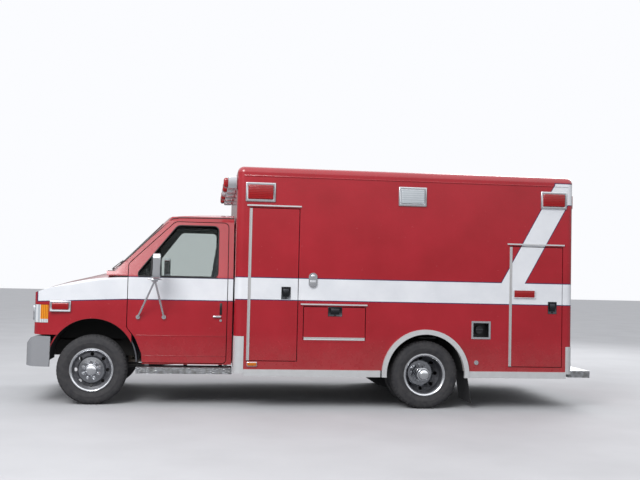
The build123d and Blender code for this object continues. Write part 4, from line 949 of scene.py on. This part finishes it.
form = bmesh.new()
lathe(form, INLET_KNOB, (2277.5, -WALL_Y, 1386), (0, -1, 0), 32)
block(form, (2246, 2309), (-WALL_Y - 20, -WALL_Y - 12), (1285, 1345), 5, 3)
piece("power_inlet_lid", form, "root", CHROME)

# %% [markdown]
# ## Window rubbers
# Window rubbers are round cords that follow the edge of each opening. Its corner points are
# rounded first, then a curve with a round section is turned into a mesh. The cab's side
# leans in above the belt, so one function gives its distance from the middle.

# %% The cab's side and rounded outlines
CAB_SIDE = ((370, 978), (505, 986), (735, 1007), (1050, 1007), (1345, 1000), (1952, 834),
            (2006, 800))
SCREEN_FOOT, SCREEN_BOW, SCREEN_RAKE = (125, 1425), 4200, math.radians(44.7)


def cab_side(z):
    """Half the cab's width at a height."""
    for (z0, y0), (z1, y1) in zip(CAB_SIDE, CAB_SIDE[1:]):
        if z <= z1:
            return y0 + (y1 - y0) * (z - z0) / (z1 - z0)
    return CAB_SIDE[-1][1]


def screen_x(y, z):
    """Where the raked, bowed windscreen lies at a place across and up."""
    x0, z0 = SCREEN_FOOT
    bowed = SCREEN_BOW - math.sqrt(SCREEN_BOW ** 2 - y ** 2)
    return x0 + bowed + (z - z0) / math.tan(SCREEN_RAKE)


def rounded(corners, steps=6):
    """A closed outline with its corners rounded, from (u, v, radius)."""
    points = []
    for index, (u, v, radius) in enumerate(corners):
        here = Vector((u, v))
        before, after = corners[index - 1], corners[(index + 1) % len(corners)]
        arms = [Vector(other[:2]) - here for other in (before, after)]
        reach = min([radius] + [arm.length * 0.48 for arm in arms])
        start, end = (here + arm.normalized() * reach for arm in arms)
        for step in range(steps + 1):
            t = step / steps
            points.append(start * (1 - t) ** 2 + here * 2 * t * (1 - t) + end * t ** 2)
    return points


def cord(name, places, radius, body, finish, closed=True):
    """A round rubber cord along places of the drawing."""
    data = bpy.data.curves.new(name, "CURVE")
    data.dimensions = "3D"
    data.bevel_depth = radius * MM
    data.bevel_resolution = 2
    line = data.splines.new("POLY")
    line.points.add(len(places) - 1)
    for point, place in zip(line.points, places):
        point.co = (*at(*place), 1)
    line.use_cyclic_u = closed
    guide = bpy.data.objects.new(name + "_guide", data)
    form = bmesh.new()
    form.from_mesh(guide.to_mesh())
    bpy.data.objects.remove(guide)
    return piece(name, form, body, finish, 60)


SILL_Z, BAR_X, BAR_TOP = 1348, 588, 1566
GLASS_IN = 6
CAB_WINDOW = ((452, 1350, 16), (452, 1392, 16), (846, 1903, 40), (1284, 1903, 60), (1284, 1350, 60))
SCREEN_OPENING = ((862, 1456, 60), (704, 1922, 70), (-704, 1922, 70), (-862, 1456, 60))


def window_rubber(side, word):
    """The rubber in a cab door's window and the bar of its quarter light."""
    ring = [(u, side * (cab_side(v) - 1), v) for u, v in rounded(CAB_WINDOW)]
    cord("window_rubber_" + word, ring, 7, "cab_door_" + word, RUBBER)
    form = bmesh.new()
    bar = [(BAR_X, side * (cab_side(z) - GLASS_IN), z) for z in (SILL_Z + 2, BAR_TOP)]
    sill = [(x, side * (cab_side(SILL_Z) + 1), SILL_Z) for x in (470, 1284)]
    rod(form, 9, *bar, 12)
    rod(form, 5, *sill, 12)
    piece("quarter_light_bar_" + word, form, "cab_door_" + word, RUBBER)


both_sides(window_rubber)
ring = [(screen_x(u, v) - 1, u, v) for u, v in rounded(SCREEN_OPENING, 8)]
cord("windscreen_rubber", ring, 8, "root", RUBBER)


def upright_window(low, high, top, foot=1500, radius=6):
    """The outline of an upright window with hardly rounded corners."""
    return rounded(((low, foot, radius), (high, foot, radius), (high, top, radius),
                    (low, top, radius)))


for low, high, body in ((110, 510, "rear_door_right"), (-510, -110, "rear_door_left")):
    ring = [(MODULE_REAR + 1, u, v) for u, v in upright_window(low, high, 2080)]
    cord("window_rubber_" + body, ring, 8, body, RUBBER)
ring = [(u, WALL_Y + 1, v) for u, v in upright_window(2260, 2740, 2120)]
cord("window_rubber_entry", ring, 8, "entry_door", RUBBER)


# %% [markdown]
# ## Handles, creases and gutters
# Each cab door has a handle on a black pocket, and two pressed creases, which are raised
# strips in the door's own paint. The gutter is a cord along the roof's edge; its black is painted
# shade under the roof's lip.

# %% Door handles, creases and the roof's gutter
GUTTER = ((330, 1530), (560, 1765), (790, 1975), (860, 1988), (1446, 1996))


def cab_trim(side, word):
    body = "cab_door_" + word
    form = bmesh.new()
    face = cab_side(1000)
    block(form, (1312, 1338), span(side, face - 2, face + 3), (958, 1082), 2, 2)
    piece("handle_pocket_" + word, form, body, BLACK)
    form = bmesh.new()
    block(form, (1242, 1330), span(side, face + 3, face + 20), (928, 948), 5, 3)
    block(form, (1318, 1332), span(side, face - 2, face + 14), (930, 946), 3, 2)
    rod(form, 13, (1325, side * (face - 3), 898), (1325, side * (face + 6), 898), 24)
    piece("door_handle_" + word, form, body, CHROME)
    form = bmesh.new()
    for z, x0, high in ((731, 446, 7), (520, 512, 5)):
        edge = cab_side(z)
        block(form, (x0, 1386), span(side, edge - 3, edge + 3.5),
              (z - high / 2, z + high / 2), 1.6, 2)
    piece("door_creases_" + word, form, body, PAINT)
    # The gutter cord is real; its black colour is painted shade, the dark line under the roof's
    # edge.
    places = [(x, side * (cab_side(z) + 1), z) for x, z in GUTTER]
    cord("painted_shade_roof_gutter_" + word, places, 6, "root", BLACK, False)


both_sides(cab_trim)

# %% [markdown]
# ## Cowl and wipers
# A black panel lies between the hood and the windscreen, and two wipers rest above it. The
# panel is a flat grid whose rear edge follows the bowed glass, made thick by an extrusion.

# %% Cowl panel and wipers
COWL_HALF, COWL_FRONT, COWL_Z = 900, 128, 1398.5
form = bmesh.new()
bmesh.ops.create_grid(form, x_segments=1, y_segments=30, size=1)
for vert in form.verts:
    y = vert.co.y * COWL_HALF
    x = COWL_FRONT if vert.co.x < 0 else screen_x(y, 1404) + 8
    vert.co = at(x, y, COWL_Z)
lid = bmesh.ops.extrude_face_region(form, geom=form.faces[:])
raised = [item for item in lid["geom"] if isinstance(item, bmesh.types.BMVert)]
bmesh.ops.translate(form, verts=raised, vec=(0, 0, 5 * MM))
for y in (-430, 330):
    x = screen_x(y, 1432)
    rod(form, 13, (x - 26, y, 1412), (x - 6, y, 1430), 16)
    tip = (y - 330, 1500)
    rod(form, 6, (x - 18, y, 1432), (screen_x(*tip) - 18, *tip), 10, 4)
    for reach in (-230, 230):
        end = (tip[0] + reach, tip[1] - reach * 0.10)
        rod(form, 5, (screen_x(*tip) - 12, *tip), (screen_x(*end) - 12, *end), 10, 3)
piece("wipers_and_cowl_panel", form, "root", BLACK)

# %% [markdown]
# ## Mirrors and headlamps
# Each mirror head carries a glass that looks back and clamps where the tubes meet. Each
# headlamp block holds a square sealed lamp in a plated rim; a ray cast from ahead finds the
# block's front face, so that the lamp sits on it.


# %% Sealed lamps in their rims
def sealed_lamp(side, word):
    solid = nodes["headlamps"]
    ahead = solid.matrix_world.inverted() @ at(-900, side * 770, 940)
    hit, place = solid.ray_cast(ahead, (1, 0, 0))[:2]
    face = ((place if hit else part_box("headlamps")[0]).x - SHIFT) / MM
    form = bmesh.new()
    block(form, (face - 7, face + 12), span(side, 672, 872), (866, 1014), 5, 2)
    form.normal_update()
    push_face(form, (-1, 0, 0), 9, 4)
    piece("headlamp_rim_" + word, form, "root", CHROME)
    form = bmesh.new()
    block(form, (face - 10, face + 10), span(side, 684, 860), (878, 1002), 7, 4)
    piece("headlamp_glass_" + word, form, "root", CLEAR_LENS)


both_sides(sealed_lamp)

# %% Mirrors
MIRROR_GLASS = metal("silvered_glass", "#E6EAEE", (0.02, 0.05), 60)


def mirror_dress(side, word):
    body = "cab_door_" + word
    form = bmesh.new()
    block(form, (688, 694), span(side, 1172, 1328), (1344, 1572), 2.5, 2)
    piece("mirror_glass_" + word, form, body, MIRROR_GLASS)
    form = bmesh.new()
    block(form, (606, 672), span(side, 1214, 1246), (1296, 1330), 8, 3)
    rod(form, 7, (560, side * 1228, 1322), (720, side * 1228, 1322), 14)
    for x, z in ((463, 922), (731, 926), (600, 1328)):
        face = cab_side(z)
        rod(form, 21, (x, side * (face - 6), z), (x, side * (face + 6), z), 24)
        rod(form, 14, (x, side * (face + 5), z), (x, side * (face + 15), z), 20, 9)
    piece("mirror_fittings_" + word, form, body, CHROME)


both_sides(mirror_dress)

# %% [markdown]
# ## Seats and bench
# The pads are foam in stretched vinyl. Each starts a little smaller than its solid, is cut
# into an even net, and is blown up by a cloth simulation whose travel is capped, so the
# middle crowns and the corners stay in. Sewn channels are pressed in afterwards.

# %% What the pads measure
SEAT_Y = 470
PADS = (
    ("seat_pad", (740, 1230), 240, (941, 1070), 0.0),
    ("seat_back", (1180, 1300), 240, (1071, 1780), 0.141),
)
CHANNEL_WIDE = 9
FRAMES = 16


# %% Stuffing a pad
def sewn(distance_mm, depth_mm):
    """How deep a sewn channel is at a distance from its line."""
    return depth_mm * MM * math.exp(-(distance_mm / CHANNEL_WIDE) ** 2)


def settled(pad):
    """The pad as its modifiers leave it."""
    return pad.evaluated_get(bpy.context.evaluated_depsgraph_get())


def stuffed(name, low, high, lean, net_mm, cap_mm, channels):
    """A crowned pad between two corners; lean shears it back with height."""
    shrink = cap_mm * 0.8
    form = bmesh.new()
    block(form, (low[0] + shrink, high[0] - shrink), (low[1] + shrink, high[1] - shrink),
          (low[2] + 1, high[2] - shrink), 22, 3)
    pad = as_object(name, form)
    net = pad.modifiers.new("net", "REMESH")
    net.mode = "VOXEL"
    net.voxel_size = net_mm * MM
    evened = bpy.data.meshes.new_from_object(settled(pad))
    pad.modifiers.clear()
    pad.data = evened
    start = [vert.co.copy() for vert in evened.vertices]
    cloth = pad.modifiers.new("stuffing", "CLOTH")
    cloth.settings.use_pressure = True
    cloth.settings.uniform_pressure_force = 4
    cloth.settings.effector_weights.gravity = 0
    for step in range(1, FRAMES):
        scene.frame_set(step)
    moved = [vert.co.copy() for vert in settled(pad).to_mesh().vertices]
    pad.modifiers.clear()
    scene.frame_set(1)
    for vert, home, place in zip(evened.vertices, start, moved):
        way = place - home
        way.length = min(way.length, shrink * MM)
        vert.co = home + way
    floor_z, foot = low[2] * MM, at(*low)
    for vert in evened.vertices:
        vert.co.z = max(vert.co.z, floor_z)
        for axis, line in channels:
            here = (vert.co - foot)[axis] / MM - line
            if lean and vert.co.x < foot.x + 50 * MM:
                vert.co.x += sewn(here, 8)
            if not lean and vert.co.z > floor_z + 30 * MM:
                vert.co.z -= sewn(here, 7)
    for vert in evened.vertices:
        vert.co.x += (vert.co.z - floor_z) * lean
    finer = pad.modifiers.new("finer", "SUBSURF")
    finer.levels = finer.render_levels = 1
    smooth = bpy.data.meshes.new_from_object(settled(pad))
    bpy.data.objects.remove(pad)
    form = bmesh.new()
    form.from_mesh(smooth)
    made = piece(name, form, "root", VINYL, 60, ["cushions"])
    return made


# %% Seats and bench
for side, word in SIDES:
    for name, x, half, z, lean in PADS:
        y = side * SEAT_Y
        lines = [(2, 180), (2, 380), (2, 560)] if lean else [(1, half - 80), (1, half + 80)]
        stuffed(name + "_" + word, (x[0], y - half, z[0]), (x[1], y + half, z[1]), lean,
                14, 18, lines)
stuffed("bench_pad", (2990, 680, 1191), (4360, 1150, 1260), 0.0, 20, 14, [(0, 457), (0, 913)])
print("pads made")
